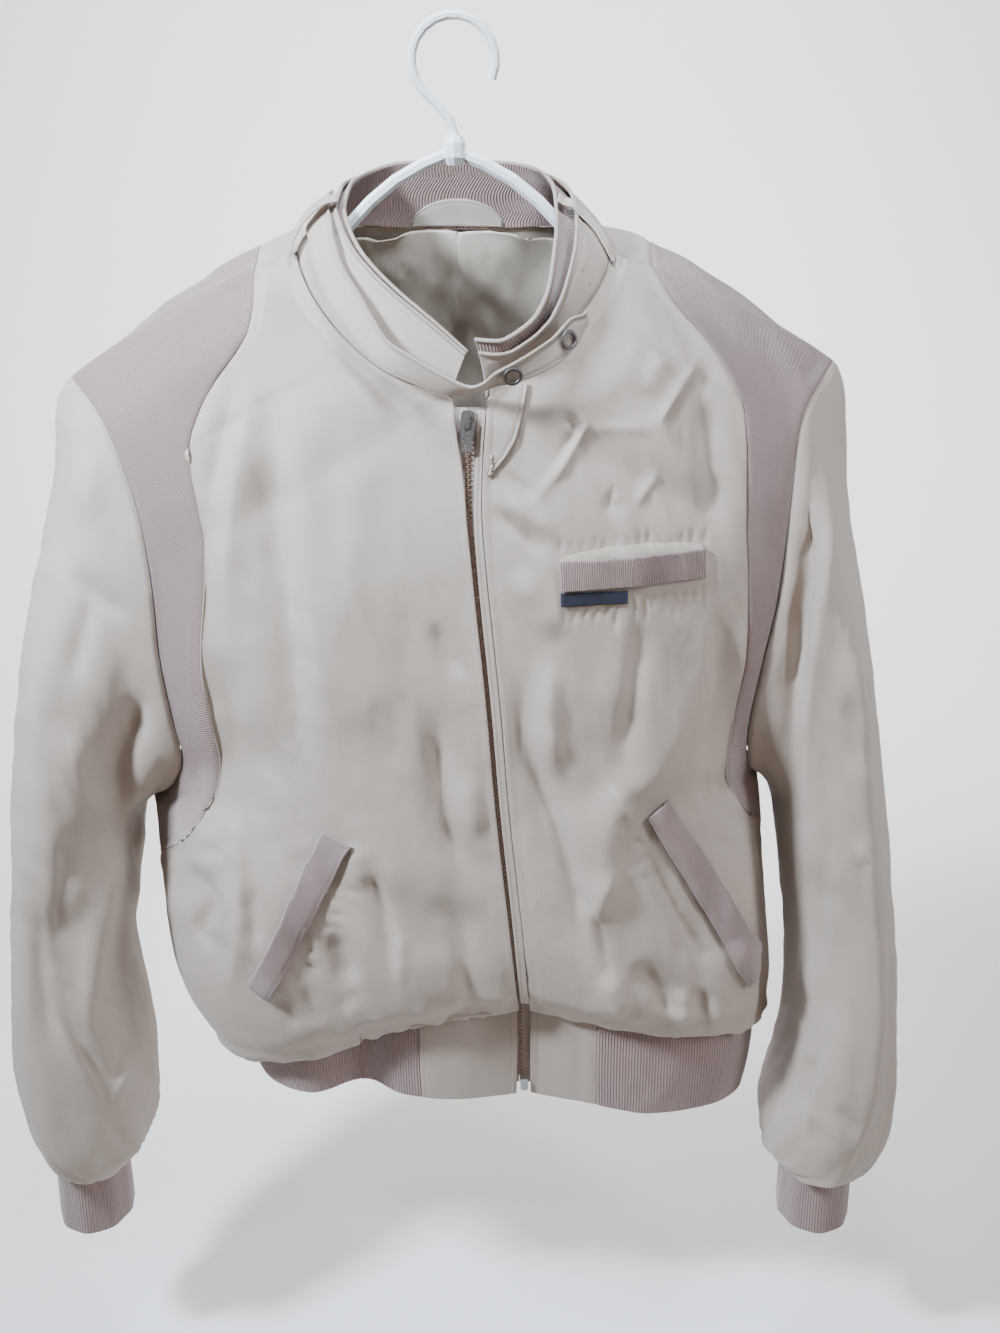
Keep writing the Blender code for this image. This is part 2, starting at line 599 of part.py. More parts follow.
def sleeve_point(side, v, turn):
    """A point of the sleeve's outer face; v runs from the armhole to the cuff."""
    p = sleeve_ring_point(side, v, turn)
    hold = (1 - ease(0, 0.30, v)) if v < 0.30 else 0
    p = p + (armhole_point(side, turn) - sleeve_ring_point(side, 0, turn)) * hold
    fade = ease(0, 0.10, v) * ease(0, 0.12, 0.97 - v)
    if fade > 0:
        f = SLEEVE_FOLDS[side]
        push = 0
        for i in range(len(f["v0"])):
            dv, dt = (f["v1"][i] - f["v0"][i]) * 0.62, math.radians(f["turn1"][i] - f["turn0"][i]) * 0.07
            qv, qt = (v - f["v0"][i]) * 0.62, (turn - math.radians(f["turn0"][i])) * 0.07
            u = min(max((qv * dv + qt * dt) / (dv * dv + dt * dt), 0), 1)
            off = math.hypot(qv - dv * u, qt - dt * u) / f["width"][i]
            push += f["depth"][i] * math.exp(-off * off * 1.6)
        middle = 0.5 * (sleeve_ring_point(side, v, 0) + sleeve_ring_point(side, v, math.pi))
        out = p - middle
        p = p + out / np.linalg.norm(out) * push * fade
    return p


def sleeve_rows():
    """Rows stand closer at the head and at the bloused end."""
    return [0, 0.035, 0.08, 0.13, 0.19, 0.25, 0.31, 0.38, 0.45, 0.52, 0.59, 0.66, 0.73, 0.80, 0.86,
            0.91, 0.955, 1]


for side, word in ((RIGHT, "right"), (LEFT, "left")):
    grid = [[sleeve_point(side, v, turn) for turn in arm_turns()] for v in sleeve_rows()]
    sew(f"sleeve_{word}", grid, CLOTH, "shell", closed=True, flip=side == RIGHT)
    end = [sleeve_ring_point(side, 1, turn) for turn in arm_turns()]
    middle = sum(end) / len(end)
    inside = []
    for p in end:
        out = (p - middle)[:2] / np.linalg.norm((p - middle)[:2])
        inside.append(np.array([*(p[:2] - out * 0.0011), 0]))
    heights = (CUFF_TOP, -0.838, -0.862, CUFF_END)
    flare = (0.0, 0.0, 0.0008, 0.0016)
    cuff = [[p * (1, 1, 0) + (p - middle * (1, 1, 0)) * f * 12 + np.array([0, 0, z]) for p in inside]
            for z, f in zip(heights, flare)]
    sew(f"cuff_{word}", cuff, RIB, f"cuff_{word}", closed=True, flip=side == RIGHT)

# ---------------------------------------------------------------- waistband
BAND_FRONT_RIGHT, BAND_FRONT_LEFT = 0.0760, 0.9480      # where the plain front ends stop
BAND_HEIGHTS = (0, 0.5, 1)


def band_grid(shares):
    grid = []
    for h in BAND_HEIGHTS:
        row = []
        for w in shares:
            p, out, droop, stand, hem = band_point(w)
            bow = 0.003 * math.sin(math.pi * h) - 0.002 * h
            row.append(np.array([*(p + out * bow), BAND_TOP + (BAND_HEM - hem - BAND_TOP) * h]))
        grid.append(row)
    return grid


columns = [i / PANEL_COLUMNS for i in range(PANEL_COLUMNS + 1)]
panel_shares = sorted({round(band_share(side, face, spread(q, 1)), 6) for side in (RIGHT, LEFT)
                       for face in (FRONT, BACK) for q in columns})


def shares_between(a, b):
    return [a] + [w for w in panel_shares if a + 0.004 < w < b - 0.004] + [b]


sew("waistband_front_right", band_grid(shares_between(0, BAND_FRONT_RIGHT)), CLOTH * 1.5, "band")
sew("waistband_rib", band_grid(shares_between(BAND_FRONT_RIGHT, BAND_FRONT_LEFT)), RIB, "band")
sew("waistband_front_left", band_grid(shares_between(BAND_FRONT_LEFT, 1)), CLOTH * 1.5, "band")


# ---------------------------------------------------------------- collar
# The rib layer's top edge round the neck, from the centre back (0) over the shoulder seams (0.5) to
# the front ends (1), and how much of its height the outer layer covers.
COLLAR_TOP = {
    RIGHT: table("k x y z cover",
                 (0.00, 0.0000, 0.0560, -0.0870, 0.88),
                 (0.14, -0.0360, 0.0540, -0.0880, 0.88),
                 (0.27, -0.0610, 0.0430, -0.0930, 0.89),
                 (0.37, -0.0720, 0.0220, -0.0990, 0.90),
                 (0.50, -0.0745, -0.0060, -0.1120, 0.92),
                 (0.58, -0.0701, -0.0300, -0.1225, 0.93),
                 (0.67, -0.0620, -0.0460, -0.1357, 0.93),
                 (0.76, -0.0519, -0.0560, -0.1466, 0.93),
                 (0.84, -0.0368, -0.0660, -0.1598, 0.93),
                 (0.92, -0.0143, -0.0760, -0.1773, 0.93),
                 (1.00, 0.0092, -0.0840, -0.1973, 0.93)),
    LEFT: table("k x y z cover",
                (0.00, 0.0000, 0.0560, -0.0870, 0.88),
                (0.14, 0.0360, 0.0540, -0.0880, 0.88),
                (0.27, 0.0600, 0.0430, -0.0930, 0.87),
                (0.37, 0.0675, 0.0220, -0.1000, 0.85),
                (0.50, 0.0685, -0.0060, -0.1115, 0.82),
                (0.58, 0.0683, -0.0300, -0.1237, 0.80),
                (0.67, 0.0665, -0.0550, -0.1385, 0.77),
                (0.76, 0.0633, -0.0750, -0.1576, 0.74),
                (0.84, 0.0562, -0.0880, -0.1738, 0.72),
                (0.91, 0.0425, -0.0960, -0.1848, 0.72),
                (0.96, 0.0288, -0.1000, -0.1902, 0.75),
                (1.00, 0.0136, -0.0970, -0.1892, 0.80)),
}
COLLAR_HEIGHTS = (0, 0.34, 0.68, 1)
RING_MIDDLE = (0.004, -0.012)
SPLAY = {RIGHT: 0.0005, LEFT: 0.0040}           # the outer layer falls away from the rib one


def neck_stations():
    """Sides, faces and rows of the shell's corners round the neck, right end to left end."""
    front = [t for t in ROWS if t >= NECK]
    back = [t for t in ROWS if t >= BACK_NECK]
    right = [(RIGHT, FRONT, t) for t in front] + [(RIGHT, BACK, t) for t in back[-2::-1]]
    left = [(LEFT, BACK, t) for t in back[1:]] + [(LEFT, FRONT, t) for t in front[-2::-1]]
    return right + left


def around(face, t):
    if face == FRONT:
        return 1 - 0.5 * (t - NECK) / (1 - NECK)
    return 0.5 * (t - BACK_NECK) / (1 - BACK_NECK)


def collar_point(side, face, t, h, splay=0.0):
    """A point of the collar; h runs from the neck seam to the rib layer's top edge."""
    seam = centre_edge(side, face, t)
    top = np.array([read(COLLAR_TOP[side], "k", axis, around(face, t)) for axis in "xyz"])
    outward = seam - np.array([*RING_MIDDLE, seam[2]])
    outward /= np.linalg.norm(outward)
    lean = np.array([h ** 1.35, h ** 1.35, h])
    return seam + (top - seam) * lean + outward * splay * h


def covered(side, face, t):
    return read(COLLAR_TOP[side], "k", "cover", around(face, t))


outer_grid, rib_grid = [], []
for h in COLLAR_HEIGHTS:
    outer_grid.append([collar_point(side, face, t, h * covered(side, face, t),
                                    SPLAY[side] * ease(0.1, 0.5, around(face, t)))
                       for side, face, t in neck_stations()])
    rib_grid.append([collar_point(side, face, t, h) for side, face, t in neck_stations()])
sew("collar_outer", outer_grid, CLOTH, "shell", flip=True)
sew("collar_rib", rib_grid, RIB, "collar_rib", lift=-COLLAR_STEP, flip=True)

# ---------------------------------------------------------------- lining, where the neck shows it
LINING_ROWS = [t for t in ROWS if t >= 0.54]


def lining_grid(side, face):
    """The lining follows the panel's own rows and columns, clear of the zip and the inset seam."""
    grid = []
    for t in LINING_ROWS:
        row = [spread(i / PANEL_COLUMNS, inset_seam(side, face, t)) for i in range(PANEL_COLUMNS - 1)]
        if face == FRONT:
            row[0] = 0.075 * (1 - ease(NECK, 0.80, t))
        grid.append([body_point(side, face, s, t) for s in row])
    return grid


sew("lining_front_right", lining_grid(RIGHT, FRONT), 0.0010, "lining", lift=-LINING_DEPTH, flip=True)
sew("lining_front_left", lining_grid(LEFT, FRONT), 0.0010, "lining", lift=-LINING_DEPTH)
sew("lining_back", [[row[::-1] for row in lining_grid(RIGHT, BACK)], lining_grid(LEFT, BACK)], 0.0010,
    "lining", lift=-LINING_DEPTH, flip=True)

# ---------------------------------------------------------------- beside the zip
def zip_point(z, across, back):
    """A point beside the zip line, behind the front's outer face."""
    return np.array([read(ZIP, "z", "x", z) + across, read(ZIP, "z", "y", z) + back, z])


STRIP_TOP, STRIP_END = -0.2330, -0.6760
TAPE_TOP, TAPE_END = -0.2320, -0.7540
TAPE_WIDE = 0.0110
strip_rows = [STRIP_END + (STRIP_TOP - STRIP_END) * i / 14 for i in range(15)]
sew("placket_strip_left",
    [[zip_point(z, read(ZIP, "z", edge, z) - inset, 0.0002)
      for edge, inset in (("strip_edge", 0), ("left_edge", 0.0006))] for z in strip_rows], 0.0012, "strip")
tape_rows = [TAPE_END, -0.7200, -0.6890, -0.6810, -0.6740, -0.6670, -0.6600, -0.6450]
tape_rows += [-0.6250 + (TAPE_TOP + 0.6250) * i / 13 for i in range(14)]
for side, word in ((RIGHT, "right"), (LEFT, "left")):
    sew(f"zip_tape_{word}",
        [[zip_point(z, side * x, read(ZIP, "z", "tape_y", z) - read(ZIP, "z", "y", z))
          for x in (0.0002, 0.0022, TAPE_WIDE)] for z in tape_rows],
        0.0010, f"tape_{word}", flip=side == RIGHT)

# ---------------------------------------------------------------- make the meshes
def material(name, colour, rough, metal=0.0):
    mat = bpy.data.materials.new(name)
    mat.use_nodes = True
    shader = mat.node_tree.nodes["Principled BSDF"]
    shader.inputs["Base Color"].default_value = (*colour, 1)
    shader.inputs["Roughness"].default_value = rough
    shader.inputs["Metallic"].default_value = metal
    return mat


def add_mesh(name, points, faces, finish, smooth=False):
    """One named solid with its own material; finish is a colour, a roughness and a metallic value."""
    mesh = bpy.data.meshes.new(name)
    mesh.from_pydata([tuple(p) for p in points], [], faces)
    mesh.update()
    mesh.materials.append(material(f"{name}_finish", *finish))
    if smooth:
        mesh.shade_smooth()
        mesh.set_sharp_from_angle(angle=math.radians(40))
    obj = bpy.data.objects.new(name, mesh)
    bpy.context.collection.objects.link(obj)
    return obj


WOVEN = ((0.52, 0.47, 0.39), 0.80)
KNIT = ((0.43, 0.35, 0.31), 0.90)
TAFFETA = ((0.58, 0.53, 0.44), 0.55)
DARK_WEAVE = ((0.02, 0.02, 0.035), 0.70)
WHITE_PLASTIC = ((0.85, 0.87, 0.88), 0.35)
STEEL = ((0.45, 0.43, 0.42), 0.35, 0.9)
FINISHES = {"inset": KNIT, "cuff": KNIT, "collar_rib": KNIT, "waistband_rib": KNIT, "hand_pocket": KNIT,
            "chest_pocket": KNIT, "zip_tape": KNIT, "lining": TAFFETA, "neck_label": TAFFETA,
            "chest_tag": DARK_WEAVE}


def cloth_finish(name):
    return next((finish for start, finish in FINISHES.items() if name.startswith(start)), WOVEN)


# ---------------------------------------------------------------- what lies on the built walls
def walls(*names, outside=False):
    """The built walls of some pieces, or their outer faces, for setting other pieces on them."""
    corners, faces = [], []
    for patch in patches:
        if patch.name in names:
            points, rings = patch.solid()
            rings = rings[:len(patch.triangles())] if outside else rings
            faces += [[v + len(corners) for v in ring] for ring in rings]
            corners += [tuple(p) for p in points]
    return BVHTree.FromPolygons(corners, faces)


def cast(tree, start, way):
    """Where a line from a point first meets the walls."""
    return np.array(tree.ray_cast(Vector(start), Vector(way))[0])


def stand_clear(tree, p, clear):
    """The point itself, or moved out until it stands clear of the walls."""
    near, normal, face, distance = tree.find_nearest(Vector(p))
    near, normal = np.array(near), np.array(normal)
    off = float(np.dot(p - near, normal))
    return p + normal * (clear - off) if off < clear and distance < 4 * clear else p


settle_normals()
# The bare label stands on the rib at the centre back, rounded at its top.
LABEL_WIDE, LABEL_TALL, LABEL_LOW = 0.064, 0.0190, -0.1325
label = []
for i in range(9):
    x = (i / 8 - 0.5) * LABEL_WIDE
    high = LABEL_LOW + LABEL_TALL * math.sqrt(max(1 - (2 * i / 8 - 1) ** 2, 0.06))
    heights = [LABEL_LOW + (high - LABEL_LOW) * j / 3 for j in range(4)]
    label.append([cast(walls("collar_rib"), (x, -0.02, z), (0, 1, 0)) for z in heights])
sew("neck_label", label, 0.0006, "label", lift=0.0016, flip=True)

# ---------------------------------------------------------------- throat strap and keeper loops
# The strap's upper edge (x y z) and its width towards the lower edge (dx dy dz), from behind the
# wearer's right loop, across the throat, to its tip on the wearer's left.
STRAP = table("x y z dx dy dz",
              (-0.0850, 0.0300, -0.1060, -0.0140, 0.0020, -0.0140),
              (-0.0835, 0.0000, -0.1125, -0.0150, 0.0000, -0.0130),
              (-0.0800, -0.0300, -0.1240, -0.0150, -0.0050, -0.0120),
              (-0.0770, -0.0440, -0.1330, -0.0140, -0.0070, -0.0130),
              (-0.0705, -0.0580, -0.1480, -0.0130, -0.0070, -0.0130),
              (-0.0583, -0.0740, -0.1650, -0.0120, -0.0060, -0.0140),
              (-0.0428, -0.0910, -0.1880, -0.0060, -0.0030, -0.0160),
              (-0.0280, -0.0990, -0.1980, 0.0000, 0.0020, -0.0170),
              (-0.0074, -0.1060, -0.2090, 0.0010, 0.0080, -0.0140),
              (0.0101, -0.1120, -0.2155, 0.0000, 0.0150, -0.0070),
              (0.0194, -0.1140, -0.2135, 0.0000, 0.0140, -0.0070),
              (0.0286, -0.1140, -0.2065, 0.0000, 0.0080, -0.0100),
              (0.0401, -0.1120, -0.2005, 0.0000, 0.0030, -0.0130),
              (0.0518, -0.1080, -0.1940, 0.0010, 0.0010, -0.0150),
              (0.0636, -0.1020, -0.1865, 0.0030, 0.0000, -0.0160),
              (0.0731, -0.0940, -0.1775, 0.0050, 0.0000, -0.0150),
              (0.0834, -0.0840, -0.1710, 0.0040, 0.0000, -0.0120))
STRAP_STEPS = 26

strap_line = smooth_line(np.stack([STRAP[k] for k in ("x", "y", "z", "dx", "dy", "dz")], 1))
neck_walls = walls("collar_outer", "front_right", "front_left", "back", outside=True)


def strap_point(a, b):
    """A point of the strap; a runs along it, b across it from the upper edge."""
    row = on_line(strap_line, a)
    tip = ease(0.955, 1, a)
    b = 0.5 + (b - 0.5) * (1 - 0.45 * tip)
    return stand_clear(neck_walls, row[:3] + row[3:] * b, STRAP_THICK + 0.0018)


sew("throat_strap", [[strap_point(i / STRAP_STEPS, b) for i in range(STRAP_STEPS + 1)] for b in (0, 0.5, 1)],
    STRAP_THICK, "strap", flip=True)

# Each keeper loop runs from the collar's top edge, over the strap, to the shoulder beside the neck.
LOOPS = {
    RIGHT: table("x y z", (-0.0770, -0.008, -0.1085), (-0.0860, -0.011, -0.1100), (-0.0965, -0.015, -0.1180),
                 (-0.1050, -0.020, -0.1300), (-0.1090, -0.025, -0.1430)),
    LEFT: table("x y z", (0.0690, -0.005, -0.1075), (0.0810, -0.009, -0.1165), (0.0920, -0.014, -0.1270),
                (0.0990, -0.020, -0.1370), (0.1060, -0.024, -0.1460)),
}
LOOP_WIDE = 0.012
settle_normals()
strap_walls = walls("collar_outer", "collar_rib", "front_right", "front_left", "back", "throat_strap",
                    outside=True)
for side, word in ((RIGHT, "right"), (LEFT, "left")):
    line = smooth_line(np.stack([LOOPS[side][k] for k in "xyz"], 1))
    across = np.array([side * 0.12, 1.0, 0.30]) * LOOP_WIDE / 2
    loop = [[stand_clear(strap_walls, on_line(line, i / 7) + across * b, 0.0030) for i in range(8)]
            for b in (-1, 0, 1)]
    sew(f"strap_loop_{word}", loop, 0.0012, f"loop_{word}", flip=side == RIGHT)

# ---------------------------------------------------------------- what lies on the fronts
def blend_corners(corners, u, v):
    """A point between four named corners: u along, v across."""
    a, b, c, d = (np.array(corners[k]) for k in ("start_outer", "end_outer", "end_inner", "start_inner"))
    return (a * (1 - u) + b * u) * (1 - v) + (d * (1 - u) + c * u) * v


def lay(name, tree, plan, thick, stand, along, across, group, flip=False):
    """A piece on a front. plan gives x, z; stand gives how far its back is off the cloth."""
    grid, lifts = [], []
    for j in range(across + 1):
        row, rises = [], []
        for i in range(along + 1):
            u, v = i / along, j / across
            x, z = plan(u, v)
            row.append(cast(tree, (x, -0.5, z), (0, 1, 0)))
            rises.append(stand(u, v) + thick)
        grid.append(row)
        lifts.append(rises)
    sew(name, grid, thick, group, flip=flip, lifts=[lifts])


trees = {RIGHT: walls("front_right"), LEFT: walls("front_left")}
BED = 0.0010               # clear height under a piece that lies on a front

CHEST_WELT = {"start_outer": (0.0680, -0.3275), "end_outer": (0.1650, -0.3235),
              "end_inner": (0.1660, -0.3430), "start_inner": (0.0690, -0.3475)}
lay("chest_pocket_welt", trees[LEFT], lambda u, v: blend_corners(CHEST_WELT, u, v), 0.0022,
    lambda u, v: BED + 0.0050 * math.sin(math.pi * u) * (1 - v), 8, 2, "chest", flip=True)
CHEST_TAG = {"start_outer": (0.0690, -0.3485), "end_outer": (0.1130, -0.3485),
             "end_inner": (0.1132, -0.3570), "start_inner": (0.0692, -0.3572)}
lay("chest_tag", trees[LEFT], lambda u, v: blend_corners(CHEST_TAG, u, v), 0.0008,
    lambda u, v: BED, 4, 1, "tag", flip=True)
HAND_WELTS = {
    RIGHT: {"start_outer": (-0.0915, -0.5225), "end_outer": (-0.1500, -0.6470),
            "end_inner": (-0.1360, -0.6580), "start_inner": (-0.0710, -0.5315)},
    LEFT: {"start_outer": (0.1440, -0.5020), "end_outer": (0.2235, -0.6440),
           "end_inner": (0.2110, -0.6590), "start_inner": (0.1300, -0.5130)},
}
for side, word in ((RIGHT, "right"), (LEFT, "left")):
    lay(f"hand_pocket_{word}", trees[side], lambda u, v, c=HAND_WELTS[side]: blend_corners(c, u, v), 0.0022,
        lambda u, v: BED + 0.0014 + 0.0040 * math.sin(math.pi * u) * (1 - v), 8, 2, f"hand_{word}",
        flip=side == LEFT)

# The tongue: its outer edge curves down to a point beside the zip.
TONGUE = table("z inner outer", (-0.2740, 0.0215, 0.0222), (-0.2690, 0.0206, 0.0275),
               (-0.2600, 0.0206, 0.0350), (-0.2480, 0.0216, 0.0410), (-0.2350, 0.0226, 0.0440),
               (-0.2285, 0.0242, 0.0446))
TONGUE_END, TONGUE_TOP = -0.2740, -0.2285


def tongue_plan(u, v):
    z = TONGUE_TOP + (TONGUE_END - TONGUE_TOP) * u
    inner, outer = read(TONGUE, "z", "inner", z), read(TONGUE, "z", "outer", z)
    return inner + (outer - inner) * v, z


lay("throat_tongue", trees[LEFT], tongue_plan, CLOTH, lambda u, v: 0.0008, 7, 3, "tongue")

settle_normals()
for patch in patches:
    points, faces = patch.solid()
    add_mesh(patch.name, points, faces, cloth_finish(patch.name))


# ---------------------------------------------------------------- hard pieces
def frame_at(along, out):
    """Axes of a small piece: x across, y along, z out of the cloth."""
    along = along / np.linalg.norm(along)
    across = np.cross(along, out)
    across /= np.linalg.norm(across)
    return np.stack([across, along, np.cross(across, along)], 1)


def turned(profile, sides):
    """A closed turned shape from radius-height pairs about z."""
    points, faces = [], []
    for r, z in profile:
        for i in range(sides):
            turn = 2 * math.pi * i / sides
            points.append(np.array([r * math.cos(turn), r * math.sin(turn), z]))
    n = len(profile)
    for j in range(n):
        for i in range(sides):
            k, m = (i + 1) % sides, (j + 1) % n
            faces.append([j * sides + i, j * sides + k, m * sides + k, m * sides + i])
    return points, faces


SNAP_RADIUS, SNAP_HOLE, SNAP_HIGH, SNAP_CLEAR = 0.0062, 0.0038, 0.0014, 0.0014
SNAPS = {"snap_front": 0.805, "snap_side": 0.935}
for name, a in SNAPS.items():
    middle = strap_point(a, 0.5)
    along = strap_point(a + 0.02, 0.5) - strap_point(a - 0.02, 0.5)
    across = strap_point(a, 0) - strap_point(a, 1)
    out = np.cross(along, across)
    out /= np.linalg.norm(out)
    axes = frame_at(along, out)
    profile = [(SNAP_HOLE, 0), (SNAP_RADIUS, 0), (SNAP_RADIUS, SNAP_HIGH * 0.6),
               (SNAP_RADIUS - 0.0006, SNAP_HIGH), (SNAP_HOLE + 0.0005, SNAP_HIGH),
               (SNAP_HOLE, SNAP_HIGH * 0.6)]
    points, faces = turned(profile, 20)
    points = [middle + axes @ (p + np.array([0, 0, SNAP_CLEAR])) for p in points]
    add_mesh(name, points, faces, STEEL, smooth=True)

# The slider sits at the top of the closed zip, leaning back with the front.
SLIDER_Z = -0.2405
SLIDER_WIDE, SLIDER_LONG, SLIDER_DEEP = 0.0084, 0.0140, 0.0042
BRIDGE_WIDE, BRIDGE_LONG, BRIDGE_HIGH = 0.0024, 0.0090, 0.0034
BRIDGE_GAP_LONG, BRIDGE_GAP_HIGH = 0.0050, 0.0022
TAB_LONG, TAB_TOP_WIDE, TAB_END_WIDE, TAB_THICK = 0.0185, 0.0090, 0.0062, 0.0010
slider_at = zip_point(SLIDER_Z, -0.0008, 0.0008)
down = zip_point(SLIDER_Z - 0.012, 0, 0) - zip_point(SLIDER_Z + 0.008, 0, 0)
slider_axes = frame_at(-down, np.array([0, -1.0, 0]))


def placed(points, at, axes):
    return [at + axes @ np.array(p) for p in points]


def block(wide, long, deep, bevel=0.0):
    """A box with its long vertical edges cut back, as points and faces."""
    w, h, b = wide / 2, long / 2, bevel
    ring = [(-w, -h + b), (-w + b, -h), (w - b, -h), (w, -h + b),
            (w, h - b), (w - b, h), (-w + b, h), (-w, h - b)]
    if b == 0:
        ring = [(-w, -h), (w, -h), (w, h), (-w, h)]
    n = len(ring)
    points = [(x, y, -deep / 2) for x, y in ring] + [(x, y, deep / 2) for x, y in ring]
    faces = [list(range(n))[::-1], list(range(n, 2 * n))]
    faces += [[i, (i + 1) % n, n + (i + 1) % n, n + i] for i in range(n)]
    return points, faces


def boolean(target, cutter, how):
    mod = target.modifiers.new(how.lower(), "BOOLEAN")
    mod.operation, mod.object, mod.solver = how, cutter, "EXACT"
    cutter.hide_render, cutter.display_type = True, "WIRE"


body_points, body_faces = block(SLIDER_WIDE, SLIDER_LONG, SLIDER_DEEP, 0.0014)
slider = add_mesh("zip_slider", placed(body_points, slider_at, slider_axes), body_faces, STEEL)
bridge_at = slider_at + slider_axes @ np.array([0, 0, SLIDER_DEEP / 2 + BRIDGE_HIGH / 2 - 0.0004])
bridge_points, bridge_faces = block(BRIDGE_WIDE, BRIDGE_LONG, BRIDGE_HIGH, 0.0006)
bridge = add_mesh("bridge_union", placed(bridge_points, bridge_at, slider_axes), bridge_faces, STEEL)
boolean(slider, bridge, "UNION")
gap_at = slider_at + slider_axes @ np.array([0, 0, SLIDER_DEEP / 2 + BRIDGE_GAP_HIGH / 2 + 0.0001])
gap_points, gap_faces = block(0.006, BRIDGE_GAP_LONG, BRIDGE_GAP_HIGH)
eye = add_mesh("bridge_gap", placed(gap_points, gap_at, slider_axes), gap_faces, STEEL)
boolean(slider, eye, "DIFFERENCE")

# The tab: a tapered plate with a slot at its end, hung by a crossbar inside the bridge.
hinge_at = slider_at + slider_axes @ np.array([0, -0.0010, SLIDER_DEEP / 2 + 0.0012])
EYE_WIDE, EYE_LONG, BAR = 0.0034, 0.0046, 0.0011


def tab_width(y):
    """Width of the tab at a distance below its crossbar."""
    return TAB_TOP_WIDE + (TAB_END_WIDE - TAB_TOP_WIDE) * min(max((-y - 0.002) / (TAB_LONG - 0.002), 0), 1)


outline = []
for y in (0.0006, -0.002, -0.008, -0.014, -TAB_LONG + 0.0012):
    outline.append((tab_width(y) / 2, y))
outline.append((TAB_END_WIDE / 2 - 0.0010, -TAB_LONG))
right_side = outline[::-1]
ring = [(-x, y) for x, y in outline] + right_side
n = len(ring)
tab_points = [(x, y, -TAB_THICK / 2) for x, y in ring] + [(x, y, TAB_THICK / 2) for x, y in ring]
tab_faces = [list(range(n))[::-1], list(range(n, 2 * n))]
tab_faces += [[i, (i + 1) % n, n + (i + 1) % n, n + i] for i in range(n)]
tab = add_mesh("zip_pull", [slider_axes @ np.array(p) for p in tab_points], tab_faces, STEEL)
tab.location = Vector(hinge_at)
for name, y, wide, long in (("eye_cut", -0.0005 - EYE_LONG / 2, EYE_WIDE, EYE_LONG),
                            ("slot_cut", -TAB_LONG + 0.0034, 0.0028, 0.0030)):
    cut_points, cut_faces = block(wide, long, 0.004)
    cut = add_mesh(name, placed([np.array(p) + (0, y, 0) for p in cut_points], hinge_at, slider_axes),
                   cut_faces, STEEL)
    boolean(tab, cut, "DIFFERENCE")

BOX_Z = -0.7520
box_points, box_faces = block(0.0058, 0.0100, 0.0028, 0.0010)
box_axes = frame_at(np.array([0, 0, 1.0]), np.array([0, -1.0, 0]))
add_mesh("zip_bottom_box", placed(box_points, zip_point(BOX_Z, 0.0036, 0.0008), box_axes), box_faces, STEEL)


# ---------------------------------------------------------------- hanger
def tube(points, radius, sides=8):
    """A round bar through a line of points in the plane y = 0, with flat ends."""
    corners, faces = [], []
    n = len(points)
    for i, p in enumerate(points):
        along = points[min(i + 1, n - 1)] - points[max(i - 1, 0)]
        along /= np.linalg.norm(along)
        side_axis = np.array([0, 1.0, 0])
        up = np.cross(along, side_axis)
        for j in range(sides):
            turn = 2 * math.pi * (j + 0.5) / sides
            corners.append(p + radius * (math.cos(turn) * side_axis + math.sin(turn) * up))
    for i in range(n - 1):
        for j in range(sides):
            k = (j + 1) % sides
            faces.append([i * sides + j, i * sides + k, (i + 1) * sides + k, (i + 1) * sides + j])
    faces += [list(range(sides))[::-1], list(range((n - 1) * sides, n * sides))]
    return corners, faces


HANGER_ARM = table("x z", (0.000, -0.0800), (0.030, -0.0925), (0.055, -0.1110), (0.066, -0.1230),
                   (0.088, -0.1405), (0.110, -0.1560), (0.150, -0.1780), (0.200, -0.2040))
arm = smooth_line(np.stack([HANGER_ARM["x"], HANGER_ARM["z"]], 1), 12)
bar = [np.array([-x, 0, z]) for x, z in arm[:0:-1]] + [np.array([x, 0, z]) for x, z in arm]
corners, faces = tube(bar, HANGER_TUBE)
hanger = add_mesh("hanger", corners, faces, WHITE_PLASTIC, smooth=True)

HOOK_START, HOOK_END = 222, -25
centre_z = -HOOK_RADIUS
turns = [math.radians(HOOK_START + (HOOK_END - HOOK_START) * i / 14) for i in range(15)]
reach = HOOK_RADIUS + HOOK_WIRE
hook_line = [np.array([0, 0, -0.0790]), np.array([0, 0, -0.0680])]
hook_line += [np.array([-0.0030, 0, -0.0600]), np.array([-0.0110, 0, -0.0510])]
hook_line += [np.array([reach * math.cos(turn), 0, centre_z + reach * math.sin(turn)]) for turn in turns]
corners, faces = tube(hook_line, HOOK_WIRE, 8)
hook = add_mesh("hook_union", corners, faces, WHITE_PLASTIC)
boolean(hanger, hook, "UNION")
HUB_SIDES, HUB_MIDDLE = 10, -0.0795
HUB = table("radius height", (0.0052, -0.0090), (0.0078, -0.0040), (0.0078, 0.0050), (0.0060, 0.0095))
hub_points, hub_faces = [], []
for radius, height in zip(HUB["radius"], HUB["height"]):
    for i in range(HUB_SIDES):
        turn = 2 * math.pi * (i + 0.5) / HUB_SIDES
        hub_points.append((radius * math.cos(turn), radius * math.sin(turn), HUB_MIDDLE + height))
for j in range(3):
    for i in range(HUB_SIDES):
        k, low, high = (i + 1) % HUB_SIDES, j * HUB_SIDES, (j + 1) * HUB_SIDES
        hub_faces.append([low + i, low + k, high + k, high + i])
hub_faces += [list(range(HUB_SIDES))[::-1], list(range(3 * HUB_SIDES, 4 * HUB_SIDES))]
hub = add_mesh("hub_union", hub_points, hub_faces, WHITE_PLASTIC)
boolean(hanger, hub, "UNION")
